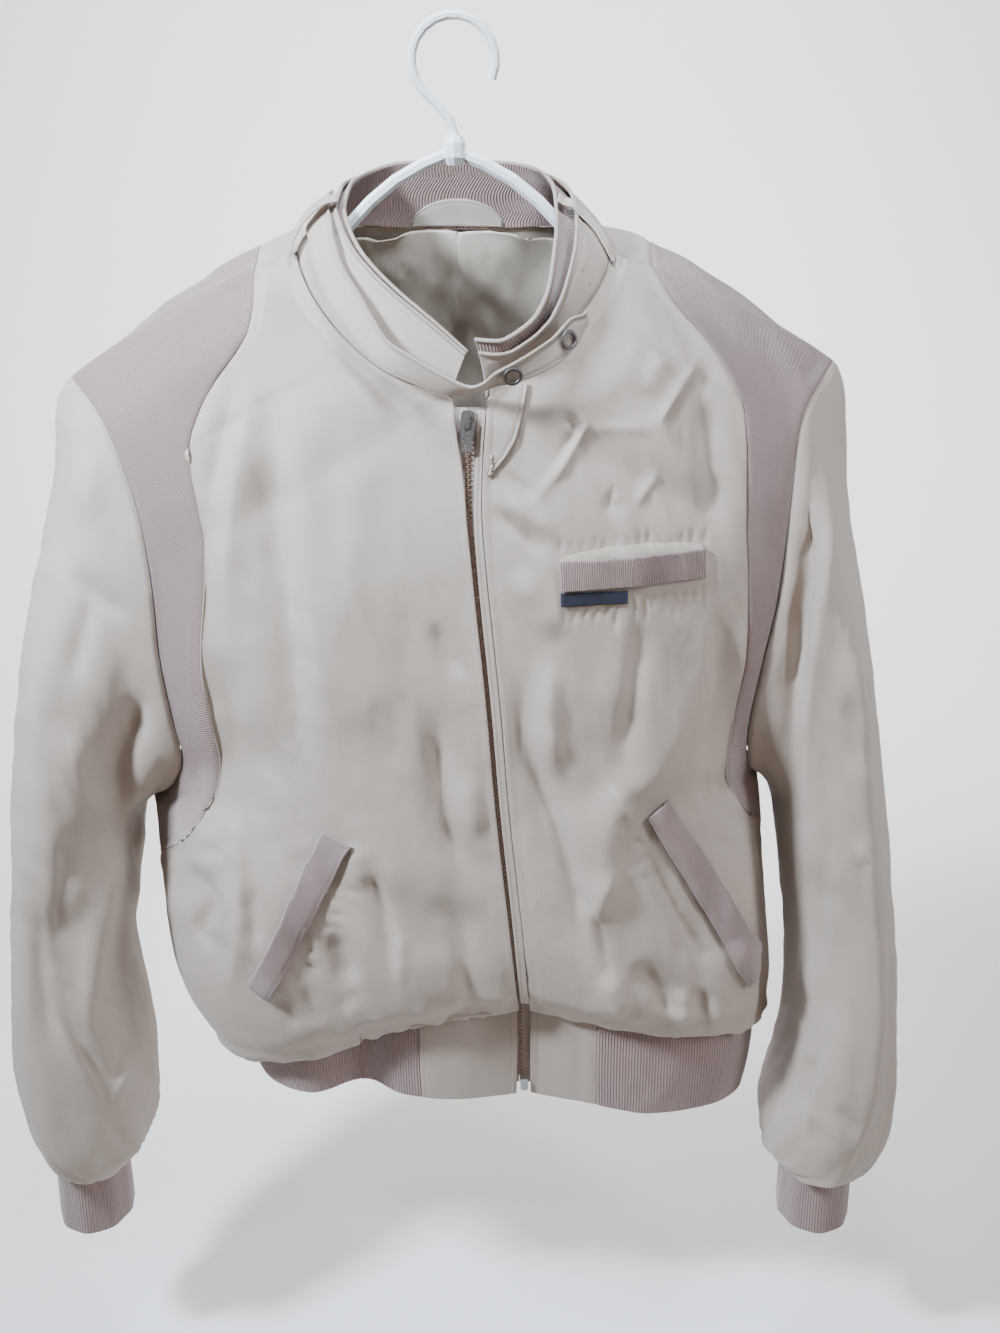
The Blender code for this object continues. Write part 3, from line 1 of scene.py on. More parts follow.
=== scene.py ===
"""Looks of a strapped bomber jacket on a plastic clothes hanger.

Metres, +Z up, in the frame of the CAD model: the origin is the inside top of the hanger's hook and
the jacket's front faces -Y. Every cloth piece is a fine sheet on the same named curves as its solid,
with its folds, gathers and seams pressed into it.
"""
import math

import bpy
import numpy as np
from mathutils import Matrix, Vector
from mathutils.bvhtree import BVHTree


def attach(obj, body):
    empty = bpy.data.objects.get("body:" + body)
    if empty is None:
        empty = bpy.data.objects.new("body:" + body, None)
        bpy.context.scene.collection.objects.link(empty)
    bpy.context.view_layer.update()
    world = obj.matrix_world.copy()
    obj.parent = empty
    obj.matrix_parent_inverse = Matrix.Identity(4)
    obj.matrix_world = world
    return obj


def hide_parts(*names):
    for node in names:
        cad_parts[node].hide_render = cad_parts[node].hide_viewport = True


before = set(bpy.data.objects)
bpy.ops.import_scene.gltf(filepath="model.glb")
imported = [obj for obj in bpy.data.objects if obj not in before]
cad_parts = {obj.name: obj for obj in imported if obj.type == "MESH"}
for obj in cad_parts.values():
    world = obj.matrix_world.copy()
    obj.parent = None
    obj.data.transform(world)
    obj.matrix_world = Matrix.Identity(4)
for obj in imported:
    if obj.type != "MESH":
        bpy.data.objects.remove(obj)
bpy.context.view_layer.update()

# ---------------------------------------------------------------- driving sizes
CLOTH = 0.0014             # woven wall
RIB = 0.0020               # rib-knit wall
CUFF_TOP, CUFF_END = -0.814, -0.884
BAND_TOP, BAND_HEM = -0.679, -0.762
COLLAR_STEP = 0.0028       # depth of the rib collar behind the outer one
LINING_DEPTH = 0.0045      # lining behind the shell
# Other walls.
THIN = {"lining": 0.0008, "label": 0.0006, "tag": 0.0007, "loop": 0.0012, "tape": 0.0010, "strip": 0.0011}
STRAP_THICK = 0.0020

# Rows of a body panel: 0 at the waist, UNDERARM where the side seam meets the armhole,
# NECK and BACK_NECK where the centre edge turns into the neckline, 1 at the shoulder seam.
TIP, UNDERARM, NECK, BACK_NECK = 0.23, 0.30, 0.72, 0.83
ROWS = [0, 0.05, 0.11, 0.17, TIP, UNDERARM, 0.36, 0.42, 0.48, 0.54, 0.60, 0.66, NECK, 0.775,
        BACK_NECK, 0.875, 0.92, 0.96, 1]
RIGHT, LEFT = -1, 1
FRONT, BACK = "front", "back"


def table(columns, *rows):
    """A short table as a dictionary of named columns."""
    return {name: np.array([row[i] for row in rows], float) for i, name in enumerate(columns.split())}


def points_of(tab, columns="x y z"):
    """The named columns of a table, as a point for each row."""
    return np.stack([tab[name] for name in columns.split()], 1)


def slopes(x, y):
    """Slopes that keep a curve through a table free of overshoot."""
    h, d = np.diff(x), np.diff(y) / np.diff(x)
    m = np.zeros(len(x))
    m[0], m[-1] = d[0], d[-1]
    for i in range(1, len(x) - 1):
        if d[i - 1] * d[i] > 0:
            a, b = 2 * h[i] + h[i - 1], h[i] + 2 * h[i - 1]
            m[i] = (a + b) / (a / d[i - 1] + b / d[i])
    return m


def read(tab, key, name, at):
    """The named column of a table, at a value of its key column."""
    x, y = tab[key], tab[name]
    at = min(max(at, x[0]), x[-1])
    i = min(int(np.searchsorted(x, at, side="right")) - 1, len(x) - 2)
    h, m = x[i + 1] - x[i], slopes(x, y)
    u = (at - x[i]) / h
    return float((2 * u ** 3 - 3 * u ** 2 + 1) * y[i] + (u ** 3 - 2 * u ** 2 + u) * h * m[i]
                 + (3 * u ** 2 - 2 * u ** 3) * y[i + 1] + (u ** 3 - u ** 2) * h * m[i + 1])


def curve(a, b, c, d, u):
    """A smooth curve from b to c, on its way from a to d."""
    return 0.5 * (2 * b + (c - a) * u + (2 * a - 5 * b + 4 * c - d) * u ** 2
                  + (3 * b - a - 3 * c + d) * u ** 3)


def smooth_line(points, samples=400):
    """Even samples of a smooth curve through a few points."""
    p = np.array(points, float)
    p = np.vstack([2 * p[0] - p[1], p, 2 * p[-1] - p[-2]])
    fine = [curve(*p[i:i + 4], u) for i in range(len(p) - 3) for u in np.linspace(0, 1, 24, endpoint=False)]
    fine = np.array(fine + [p[-2]])
    run = np.concatenate([[0], np.cumsum(np.linalg.norm(np.diff(fine, axis=0), axis=1))])
    even = np.linspace(0, run[-1], samples)
    return np.stack([np.interp(even, run, fine[:, k]) for k in range(fine.shape[1])], 1)


def on_line(line, a):
    """The point at the share a of a sampled line."""
    at = min(max(a, 0), 1) * (len(line) - 1)
    i = min(int(at), len(line) - 2)
    return line[i] * (1 - at + i) + line[i + 1] * (at - i)


def ease(a, b, x):
    """0 up to a, 1 from b on, and smooth between them."""
    u = min(max((x - a) / (b - a), 0), 1)
    return u * u * (3 - 2 * u)


# ---------------------------------------------------------------- seam curves
# The zip runs down the front, its tapes behind it. right_edge and left_edge are how far each front
# stops from it, and strip_edge is where the guard strip beside it begins.
ZIP = table("z x y tape_y right_edge strip_edge left_edge",
    (-0.762, 0.0450, -0.071, -0.0650, 0.0016, 0.0016, 0.0085),
    (-0.682, 0.0440, -0.077, -0.0655, 0.0016, 0.0016, 0.0085),
    (-0.660, 0.0425, -0.094, -0.0840, 0.0016, 0.0016, 0.0085),
    (-0.610, 0.0385, -0.105, -0.1010, 0.0016, 0.0016, 0.0085),
    (-0.500, 0.0280, -0.110, -0.1066, 0.0016, 0.0016, 0.0080),
    (-0.430, 0.0226, -0.112, -0.1086, 0.0016, 0.0016, 0.0080),
    (-0.330, 0.0130, -0.110, -0.1066, 0.0016, 0.0020, 0.0080),
    (-0.290, 0.0098, -0.105, -0.1016, 0.0020, 0.0034, 0.0088),
    (-0.262, 0.0095, -0.099, -0.0958, 0.0048, 0.0050, 0.0100),
    (-0.245, 0.0100, -0.095, -0.0918, 0.0080, 0.0052, 0.0108),
    (-0.2265, 0.0108, -0.090, -0.0868, 0.0115, 0.0052, 0.0112))
NECK_Z = -0.2265
ZIP_EDGE = {RIGHT: "right_edge", LEFT: "left_edge"}

# Neckline from the centre front, over the shoulder seam, to the centre back.
NECKLINE_FRONT = table("x y z",
    (0.0110, -0.0900, -0.2265), (0.0405, -0.0850, -0.2122), (0.0697, -0.0700, -0.1911),
    (0.0900, -0.0500, -0.1697), (0.1000, -0.0320, -0.1540), (0.1045, -0.0180, -0.1430))
NECKLINE_BACK = table("x y z",
    (0.0000, 0.0680, -0.1340), (0.0420, 0.0640, -0.1325), (0.0760, 0.0480, -0.1300),
    (0.0980, 0.0200, -0.1300), (0.1045, -0.0180, -0.1430))

# Armholes from the underarm to the shoulder tip.
ARMHOLES = {
    (RIGHT, FRONT): table("x y z",
        (-0.2325, 0.000, -0.5380), (-0.2119, -0.035, -0.5226), (-0.1965, -0.055, -0.4931),
        (-0.1985, -0.065, -0.4600), (-0.2038, -0.070, -0.4100), (-0.2055, -0.070, -0.3550),
        (-0.2142, -0.062, -0.3010), (-0.2353, -0.045, -0.2500), (-0.2640, -0.008, -0.2255)),
    (RIGHT, BACK): table("x y z",
        (-0.2325, 0.000, -0.5380), (-0.2150, 0.040, -0.5150), (-0.2070, 0.062, -0.4700),
        (-0.2050, 0.072, -0.4100), (-0.2090, 0.072, -0.3500), (-0.2200, 0.060, -0.2900),
        (-0.2400, 0.038, -0.2450), (-0.2640, -0.008, -0.2255)),
    (LEFT, FRONT): table("x y z",
        (0.2235, 0.000, -0.5220), (0.2110, -0.035, -0.5050), (0.2060, -0.055, -0.4650),
        (0.2120, -0.062, -0.4150), (0.2190, -0.063, -0.3750), (0.2227, -0.062, -0.3330),
        (0.2249, -0.058, -0.2942), (0.2330, -0.044, -0.2450), (0.2585, -0.008, -0.2150)),
    (LEFT, BACK): table("x y z",
        (0.2235, 0.000, -0.5220), (0.2130, 0.040, -0.5000), (0.2130, 0.062, -0.4600),
        (0.2170, 0.072, -0.4000), (0.2190, 0.072, -0.3400), (0.2250, 0.060, -0.2800),
        (0.2400, 0.036, -0.2350), (0.2585, -0.008, -0.2150)),
}

# Side seams, from the lowest point of the bloused body up to the underarm.
SIDES = {
    RIGHT: table("z x",
        (-0.740, -0.1960), (-0.7136, -0.2068), (-0.6580, -0.2204), (-0.5680, -0.2287), (-0.5380, -0.2325)),
    LEFT: table("z x",
        (-0.740, 0.2330), (-0.7209, 0.2386), (-0.6882, 0.2391), (-0.6331, 0.2360), (-0.5220, 0.2235)),
}

# The waistband in plan, from the zip round the wearer's right, the back and the left: how far the
# body droops over it, how far the body stands out there, and how much lower the hem hangs.
BAND = table("x y droop stand hem",
    (0.0430, -0.0710, 0.003, 0.006, 0.000),
    (-0.0020, -0.0780, 0.006, 0.008, 0.000),
    (-0.0450, -0.0715, 0.019, 0.012, 0.000),
    (-0.0740, -0.0560, 0.034, 0.018, -0.003),
    (-0.1120, -0.0660, 0.044, 0.016, 0.003),
    (-0.1460, -0.0500, 0.054, 0.020, 0.003),
    (-0.1640, -0.0230, 0.063, 0.025, 0.000),
    (-0.1670, 0.0020, 0.063, 0.026, 0.000),
    (-0.1560, 0.0400, 0.044, 0.024, 0.000),
    (-0.1200, 0.0640, 0.032, 0.018, 0.000),
    (-0.0700, 0.0720, 0.020, 0.016, 0.000),
    (-0.0200, 0.0680, 0.014, 0.014, 0.000),
    (0.0300, 0.0740, 0.012, 0.014, 0.000),
    (0.0800, 0.0680, 0.014, 0.014, 0.000),
    (0.1300, 0.0740, 0.018, 0.014, 0.000),
    (0.1800, 0.0620, 0.026, 0.014, 0.003),
    (0.2120, 0.0400, 0.034, 0.013, 0.007),
    (0.2270, 0.0050, 0.036, 0.012, 0.010),
    (0.2260, -0.0200, 0.035, 0.012, 0.010),
    (0.2150, -0.0520, 0.028, 0.012, 0.009),
    (0.1880, -0.0760, 0.018, 0.012, 0.007),
    (0.1390, -0.0860, 0.011, 0.011, 0.007),
    (0.0860, -0.0755, 0.006, 0.009, 0.003),
    (0.0530, -0.0700, 0.003, 0.006, 0.000))
BAND_RIGHT_SIDE, BAND_LEFT_SIDE = 0.2565, 0.7390        # shares of its length at the side seams
BAND_FRONT_RIGHT, BAND_FRONT_LEFT = 0.0760, 0.9480      # and where the plain front ends stop

band_line = smooth_line(points_of(BAND, "x y droop stand hem"))


def band_point(w):
    """Plan point, outward direction, droop, stand-out and hem drop at the share w of the band."""
    x, y, droop, stand, hem = on_line(band_line, w)
    a, b = on_line(band_line, w - 0.004), on_line(band_line, w + 0.004)
    along = (b - a)[:2] / np.linalg.norm((b - a)[:2])
    return np.array([x, y]), np.array([-along[1], along[0]]), droop, stand, hem


def band_share(side, face, s):
    """The share of the band under a body panel's column."""
    if side == RIGHT:
        return BAND_RIGHT_SIDE * s if face == FRONT else 0.5 + (BAND_RIGHT_SIDE - 0.5) * s
    return 1 + (BAND_LEFT_SIDE - 1) * s if face == FRONT else 0.5 + (BAND_LEFT_SIDE - 0.5) * s


def waist_bottom(side, face, s):
    """The lowest line of the bloused body."""
    p, out, droop, stand = band_point(band_share(side, face, s))[:4]
    return np.array([*(p + out * stand), BAND_TOP - droop])


# ---------------------------------------------------------------- body panels
def centre_edge(side, face, t):
    """A panel's edge at the zip or the centre back, and on round the neckline."""
    if face == FRONT:
        if t <= NECK:
            bottom = waist_bottom(side, face, 0)
            z = bottom[2] + (NECK_Z - bottom[2]) * t / NECK
            x = read(ZIP, "z", "x", z) + side * read(ZIP, "z", ZIP_EDGE[side], z)
            return np.array([x, read(ZIP, "z", "y", z), z])
        line = neck_lines[side, FRONT]
        return on_line(line, (t - NECK) / (1 - NECK))
    if t <= BACK_NECK:
        bottom = waist_bottom(side, face, 0)
        top = neck_lines[side, BACK][0]
        u = t / BACK_NECK
        p = bottom + (top - bottom) * u
        p[1] += 0.034 * math.sin(math.pi * u ** 0.9)
        return p
    return on_line(neck_lines[side, BACK], (t - BACK_NECK) / (1 - BACK_NECK))


def side_edge(side, face, t):
    """A panel's side seam, and on round the armhole."""
    if t <= UNDERARM:
        bottom = waist_bottom(side, face, 1)
        top = arm_lines[side, FRONT][0]
        u = t / UNDERARM
        z = bottom[2] + (top[2] - bottom[2]) * u
        keep = ease(0, 0.25, u)
        x = read(SIDES[side], "z", "x", z) * keep + (bottom[0] + (top[0] - bottom[0]) * u) * (1 - keep)
        return np.array([x, bottom[1] * (1 - u) + top[1] * u, z])
    return on_line(arm_lines[side, face], (t - UNDERARM) / (1 - UNDERARM))


def row_point(side, face, s, t):
    """A row runs from the centre edge to the side edge and rounds backward near the side."""
    a, b = centre_edge(side, face, t), side_edge(side, face, t)
    p = a + (b - a) * s
    full = 1 - (1 - s ** 2.6) ** (1 / 2.6)
    open_arm = ease(UNDERARM - 0.14, UNDERARM + 0.16, t)
    turn = 2.4 - 0.9 * ease(0.75, 1, t)
    lift = math.sin(math.pi * s) * 0.006 * (1 - ease(0.7, 1, t))
    p[1] = a[1] + (b[1] - a[1]) * (full * (1 - open_arm) + s ** turn * open_arm)
    p[1] += -lift if face == FRONT else lift
    p[2] += shoulder_crown(face, t) * math.sin(math.pi * s) ** 0.7
    return p


def shoulder_crown(face, t):
    """The shoulder bows over the hanger's arm, highest just behind the seam."""
    if face == FRONT:
        return 0.007 * ease(0.86, 1, t)
    return 0.007 * ease(0.90, 1, t) + 0.014 * ease(0.80, 0.95, t) * (1 - ease(0.95, 1, t))


# Large soft folds of the body: start and end in plan, half-width and depth (minus is a trough).
BODY_FOLDS = table("front side x0 z0 x1 z1 width depth",
    (1, -1, -0.115, -0.270, -0.060, -0.420, 0.030, 0.0040),
    (1, -1, -0.165, -0.500, -0.020, -0.600, 0.030, -0.0045),
    (1, -1, -0.175, -0.560, -0.110, -0.680, 0.026, 0.0060),
    (1, -1, -0.060, -0.560, -0.045, -0.680, 0.028, 0.0045),
    (1, 1, 0.075, -0.255, 0.160, -0.300, 0.024, -0.0040),
    (1, 1, 0.115, -0.420, 0.190, -0.500, 0.030, 0.0040),
    (1, 1, 0.085, -0.520, 0.100, -0.660, 0.028, 0.0045),
    (1, 1, 0.185, -0.520, 0.165, -0.670, 0.026, -0.0045),
    (0, -1, -0.120, -0.250, -0.050, -0.420, 0.032, 0.0045),
    (0, -1, -0.150, -0.500, -0.090, -0.680, 0.030, 0.0055),
    (0, 1, 0.120, -0.250, 0.060, -0.420, 0.032, 0.0045),
    (0, 1, 0.150, -0.500, 0.080, -0.680, 0.030, -0.0050))


def body_folds(side, face, p):
    """How far the large folds push the cloth out at a point."""
    push = 0
    f = BODY_FOLDS
    for i in range(len(f["x0"])):
        if f["side"][i] != side or (f["front"][i] == 1) != (face == FRONT):
            continue
        a = np.array([f["x0"][i], f["z0"][i]])
        b = np.array([f["x1"][i], f["z1"][i]])
        q = np.array([p[0], p[2]])
        u = np.dot(q - a, b - a) / np.dot(b - a, b - a)
        off = np.linalg.norm(q - a - (b - a) * min(max(u, 0), 1)) / f["width"][i]
        push += f["depth"][i] * math.exp(-off * off * 1.6)
    return push


def body_point(side, face, s, t):
    """A point of a body panel's outer face."""
    p = row_point(side, face, s, t)
    settle = (1 - min(t / 0.34, 1)) ** 2
    if settle > 0:
        p = p + (waist_bottom(side, face, s) - row_point(side, face, s, 0)) * settle
    edge = ease(0, 0.12, s) * ease(0, 0.08, 1 - s) * ease(0, 0.06, t) * ease(0, 0.15, 1 - t)
    p[1] += (-1 if face == FRONT else 1) * body_folds(side, face, p) * edge
    return p


# Where the rib inset begins on each row, as a share of the way from centre to side.
INSET_SEAMS = {
    (RIGHT, FRONT): table("t s",
        (0, 1), (TIP, 1), (UNDERARM, 0.81), (0.36, 0.82), (0.48, 0.87), (0.54, 0.87), (0.66, 0.825),
        (0.775, 0.775), (0.83, 0.72), (0.875, 0.57), (0.92, 0.31), (0.96, 0.22), (1, 0.18)),
    (LEFT, FRONT): table("t s",
        (0, 1), (TIP, 1), (UNDERARM, 0.87), (0.36, 0.885), (0.48, 0.93), (0.54, 0.93), (0.66, 0.885),
        (0.775, 0.83), (0.83, 0.79), (0.875, 0.73), (0.92, 0.55), (0.96, 0.30), (1, 0.18)),
    (RIGHT, BACK): table("t s",
        (0, 1), (TIP, 1), (UNDERARM, 0.84), (0.36, 0.84), (0.54, 0.84), (0.66, 0.81), (0.775, 0.76),
        (0.83, 0.70), (0.875, 0.57), (0.92, 0.33), (0.96, 0.22), (1, 0.18)),
    (LEFT, BACK): table("t s",
        (0, 1), (TIP, 1), (UNDERARM, 0.86), (0.36, 0.86), (0.54, 0.86), (0.66, 0.82), (0.775, 0.77),
        (0.83, 0.71), (0.875, 0.58), (0.92, 0.34), (0.96, 0.22), (1, 0.18)),
}


def inset_seam(side, face, t):
    """Where the inset begins on a row."""
    return read(INSET_SEAMS[side, face], "t", "s", t)


def spread(q, seam):
    """Columns stand closer together towards the side, where the panel turns."""
    return seam * math.sin(q * math.pi / 2) ** 0.85 if seam > 0.7 else seam * q


neck_lines, arm_lines = {}, {}
for side in (RIGHT, LEFT):
    front_neck = points_of(NECKLINE_FRONT) * (side, 1, 1)
    front_neck[0, 0] = read(ZIP, "z", "x", NECK_Z) + side * read(ZIP, "z", ZIP_EDGE[side], NECK_Z)
    neck_lines[side, FRONT] = smooth_line(front_neck)
    neck_lines[side, BACK] = smooth_line(points_of(NECKLINE_BACK) * (side, 1, 1))
    for face in (FRONT, BACK):
        arm_lines[side, face] = smooth_line(points_of(ARMHOLES[side, face]))


# ---------------------------------------------------------------- sleeves
# Outer and inner line of each sleeve (x, z), the depth forward of the body's middle plane, and the
# half-depth from front to back. The last rows turn in under the bloused end to the cuff.
SLEEVES = {
    RIGHT: table("xo zo xi zi y half",
        (-0.2640, -0.2255, -0.2325, -0.5380, 0.000, 0.066),
        (-0.2760, -0.2450, -0.2375, -0.5395, 0.000, 0.070),
        (-0.2830, -0.2900, -0.2400, -0.5440, 0.000, 0.076),
        (-0.2950, -0.3350, -0.2415, -0.5500, 0.000, 0.080),
        (-0.3100, -0.3920, -0.2425, -0.5570, -0.002, 0.083),
        (-0.3235, -0.4650, -0.2435, -0.5680, -0.005, 0.083),
        (-0.3300, -0.5300, -0.2455, -0.5880, -0.009, 0.081),
        (-0.3370, -0.5950, -0.2480, -0.6180, -0.014, 0.079),
        (-0.3440, -0.6500, -0.2525, -0.6560, -0.020, 0.078),
        (-0.3485, -0.7000, -0.2460, -0.7000, -0.026, 0.077),
        (-0.3490, -0.7480, -0.2410, -0.7480, -0.032, 0.075),
        (-0.3430, -0.7880, -0.2400, -0.7880, -0.037, 0.070),
        (-0.3360, -0.8150, -0.2470, -0.8150, -0.041, 0.060),
        (-0.3270, -0.8260, -0.2580, -0.8260, -0.044, 0.047),
        (-0.3222, -0.8200, -0.2648, -0.8200, -0.045, 0.0352)),
    LEFT: table("xo zo xi zi y half",
        (0.2585, -0.2150, 0.2235, -0.5220, 0.000, 0.066),
        (0.2665, -0.2350, 0.2290, -0.5240, 0.000, 0.070),
        (0.2710, -0.2750, 0.2315, -0.5290, 0.000, 0.076),
        (0.2775, -0.3200, 0.2335, -0.5360, 0.000, 0.080),
        (0.2870, -0.3700, 0.2360, -0.5460, -0.002, 0.083),
        (0.3000, -0.4400, 0.2395, -0.5610, -0.005, 0.083),
        (0.3110, -0.5100, 0.2430, -0.5850, -0.009, 0.081),
        (0.3235, -0.5850, 0.2470, -0.6200, -0.014, 0.079),
        (0.3300, -0.6450, 0.2500, -0.6580, -0.020, 0.078),
        (0.3345, -0.6950, 0.2510, -0.7000, -0.026, 0.077),
        (0.3380, -0.7480, 0.2450, -0.7480, -0.032, 0.075),
        (0.3370, -0.7880, 0.2340, -0.7880, -0.037, 0.070),
        (0.3300, -0.8180, 0.2370, -0.8180, -0.041, 0.060),
        (0.3160, -0.8290, 0.2455, -0.8290, -0.044, 0.047),
        (0.3092, -0.8210, 0.2518, -0.8210, -0.045, 0.0352)),
}

# Large sleeve folds: row and turn where each starts and ends, half-width, depth. A turn of 0 is the
# outer line, 90 the front, 180 the inner line and 270 the back.
SLEEVE_FOLDS = {
    RIGHT: table("v0 turn0 v1 turn1 width depth",
        (0.10, 40, 0.45, 95, 0.030, 0.0050),
        (0.12, 110, 0.38, 150, 0.026, -0.0060),
        (0.45, 60, 0.80, 80, 0.026, 0.0055),
        (0.50, 110, 0.82, 125, 0.022, -0.0050),
        (0.60, 30, 0.88, 45, 0.024, -0.0045),
        (0.30, 230, 0.60, 280, 0.030, 0.0050),
        (0.62, 240, 0.85, 300, 0.026, -0.0050)),
    LEFT: table("v0 turn0 v1 turn1 width depth",
        (0.03, 50, 0.75, 78, 0.020, 0.0060),
        (0.10, 95, 0.60, 115, 0.024, -0.0055),
        (0.55, 40, 0.85, 60, 0.026, -0.0040),
        (0.62, 110, 0.86, 95, 0.022, 0.0045),
        (0.30, 230, 0.60, 280, 0.030, 0.0050),
        (0.62, 240, 0.85, 300, 0.026, -0.0050)),
}


def armhole_point(side, turn):
    """The armhole at a turn from the shoulder tip over the front."""
    face = FRONT if turn <= math.pi else BACK
    a = 1 - (turn if face == FRONT else 2 * math.pi - turn) / math.pi
    return side_edge(side, face, UNDERARM + a * (1 - UNDERARM))


def sleeve_ring_point(side, v, turn):
    """The sleeve's plain oval, before its top meets the armhole and its folds are added."""
    tab = SLEEVES[side]
    n = len(tab["y"]) - 1
    keys = dict(tab, key=np.arange(n + 1) / n)
    xo, zo, xi, zi, y, half = (read(keys, "key", k, v) for k in ("xo", "zo", "xi", "zi", "y", "half"))
    c, s = math.cos(turn), math.sin(turn)
    across = 0.5 * (np.array([xo, zo]) - np.array([xi, zi]))
    middle = 0.5 * (np.array([xo, zo]) + np.array([xi, zi]))
    plan = middle + across * c
    return np.array([plan[0], y - half * s, plan[1]])


def sleeve_point(side, v, turn):
    """A point of the sleeve's outer face; v runs from the armhole to the cuff."""
    p = sleeve_ring_point(side, v, turn)
    hold = (1 - ease(0, 0.30, v)) if v < 0.30 else 0
    p = p + (armhole_point(side, turn) - sleeve_ring_point(side, 0, turn)) * hold
    fade = ease(0, 0.10, v) * ease(0, 0.12, 0.97 - v)
    if fade > 0:
        f = SLEEVE_FOLDS[side]
        push = 0
        for i in range(len(f["v0"])):
            dv, dt = (f["v1"][i] - f["v0"][i]) * 0.62, math.radians(f["turn1"][i] - f["turn0"][i]) * 0.07
            qv, qt = (v - f["v0"][i]) * 0.62, (turn - math.radians(f["turn0"][i])) * 0.07
            u = min(max((qv * dv + qt * dt) / (dv * dv + dt * dt), 0), 1)
            off = math.hypot(qv - dv * u, qt - dt * u) / f["width"][i]
            push += f["depth"][i] * math.exp(-off * off * 1.6)
        middle = 0.5 * (sleeve_ring_point(side, v, 0) + sleeve_ring_point(side, v, math.pi))
        out = p - middle
        p = p + out / np.linalg.norm(out) * push * fade
    return p


# ---------------------------------------------------------------- collar
# The rib layer's top edge round the neck, from the centre back (0) over the shoulder seams (0.5) to
# the front ends (1), and how much of its height the outer layer covers.
COLLAR_TOP = {
    RIGHT: table("k x y z cover",
        (0.00, 0.0000, 0.0560, -0.0870, 0.88),
        (0.14, -0.0360, 0.0540, -0.0880, 0.88),
        (0.27, -0.0610, 0.0430, -0.0930, 0.89),
        (0.37, -0.0720, 0.0220, -0.0990, 0.90),
        (0.50, -0.0745, -0.0060, -0.1120, 0.92),
        (0.58, -0.0701, -0.0300, -0.1225, 0.93),
        (0.67, -0.0620, -0.0460, -0.1357, 0.93),
        (0.76, -0.0519, -0.0560, -0.1466, 0.93),
        (0.84, -0.0368, -0.0660, -0.1598, 0.93),
        (0.92, -0.0143, -0.0760, -0.1773, 0.93),
        (1.00, 0.0092, -0.0840, -0.1973, 0.93)),
    LEFT: table("k x y z cover",
        (0.00, 0.0000, 0.0560, -0.0870, 0.88),
        (0.14, 0.0360, 0.0540, -0.0880, 0.88),
        (0.27, 0.0600, 0.0430, -0.0930, 0.87),
        (0.37, 0.0675, 0.0220, -0.1000, 0.85),
        (0.50, 0.0685, -0.0060, -0.1115, 0.82),
        (0.58, 0.0683, -0.0300, -0.1237, 0.80),
        (0.67, 0.0665, -0.0550, -0.1385, 0.77),
        (0.76, 0.0633, -0.0750, -0.1576, 0.74),
        (0.84, 0.0562, -0.0880, -0.1738, 0.72),
        (0.91, 0.0425, -0.0960, -0.1848, 0.72),
        (0.96, 0.0288, -0.1000, -0.1902, 0.75),
        (1.00, 0.0136, -0.0970, -0.1892, 0.80)),
}
RING_MIDDLE = (0.004, -0.012)
SPLAY = {RIGHT: 0.0005, LEFT: 0.0040}           # the outer layer falls away from the rib one


def around(face, t):
    """The share of the way round the neck at a row, as in COLLAR_TOP."""
    if face == FRONT:
        return 1 - 0.5 * (t - NECK) / (1 - NECK)
    return 0.5 * (t - BACK_NECK) / (1 - BACK_NECK)


def collar_point(side, face, t, h, splay=0.0):
    """A point of the collar; h runs from the neck seam to the rib layer's top edge."""
    seam = centre_edge(side, face, t)
    top = np.array([read(COLLAR_TOP[side], "k", axis, around(face, t)) for axis in "xyz"])
    outward = seam - np.array([*RING_MIDDLE, seam[2]])
    outward /= np.linalg.norm(outward)
    lean = np.array([h ** 1.35, h ** 1.35, h])
    return seam + (top - seam) * lean + outward * splay * h


def covered(side, face, t):
    """How much of the rib layer's height the outer layer covers there."""
    return read(COLLAR_TOP[side], "k", "cover", around(face, t))


# ---------------------------------------------------------------- beside the zip
def zip_point(z, across, back):
    """A point beside the zip line, behind the front's outer face."""
    return np.array([read(ZIP, "z", "x", z) + across, read(ZIP, "z", "y", z) + back, z])


STRIP_TOP, STRIP_END = -0.2330, -0.6760
TAPE_TOP, TAPE_END = -0.2320, -0.7540
TAPE_WIDE = 0.0110


def cast(tree, start, way):
    """Where a line from a point first meets the walls."""
    return np.array(tree.ray_cast(Vector(start), Vector(way))[0])


def stand_clear(tree, p, clear):
    """The point itself, or moved out until it stands clear of the walls."""
    near, normal, _, distance = tree.find_nearest(Vector(p))
    near, normal = np.array(near), np.array(normal)
    off = float(np.dot(p - near, normal))
    return p + normal * (clear - off) if off < clear and distance < 4 * clear else p


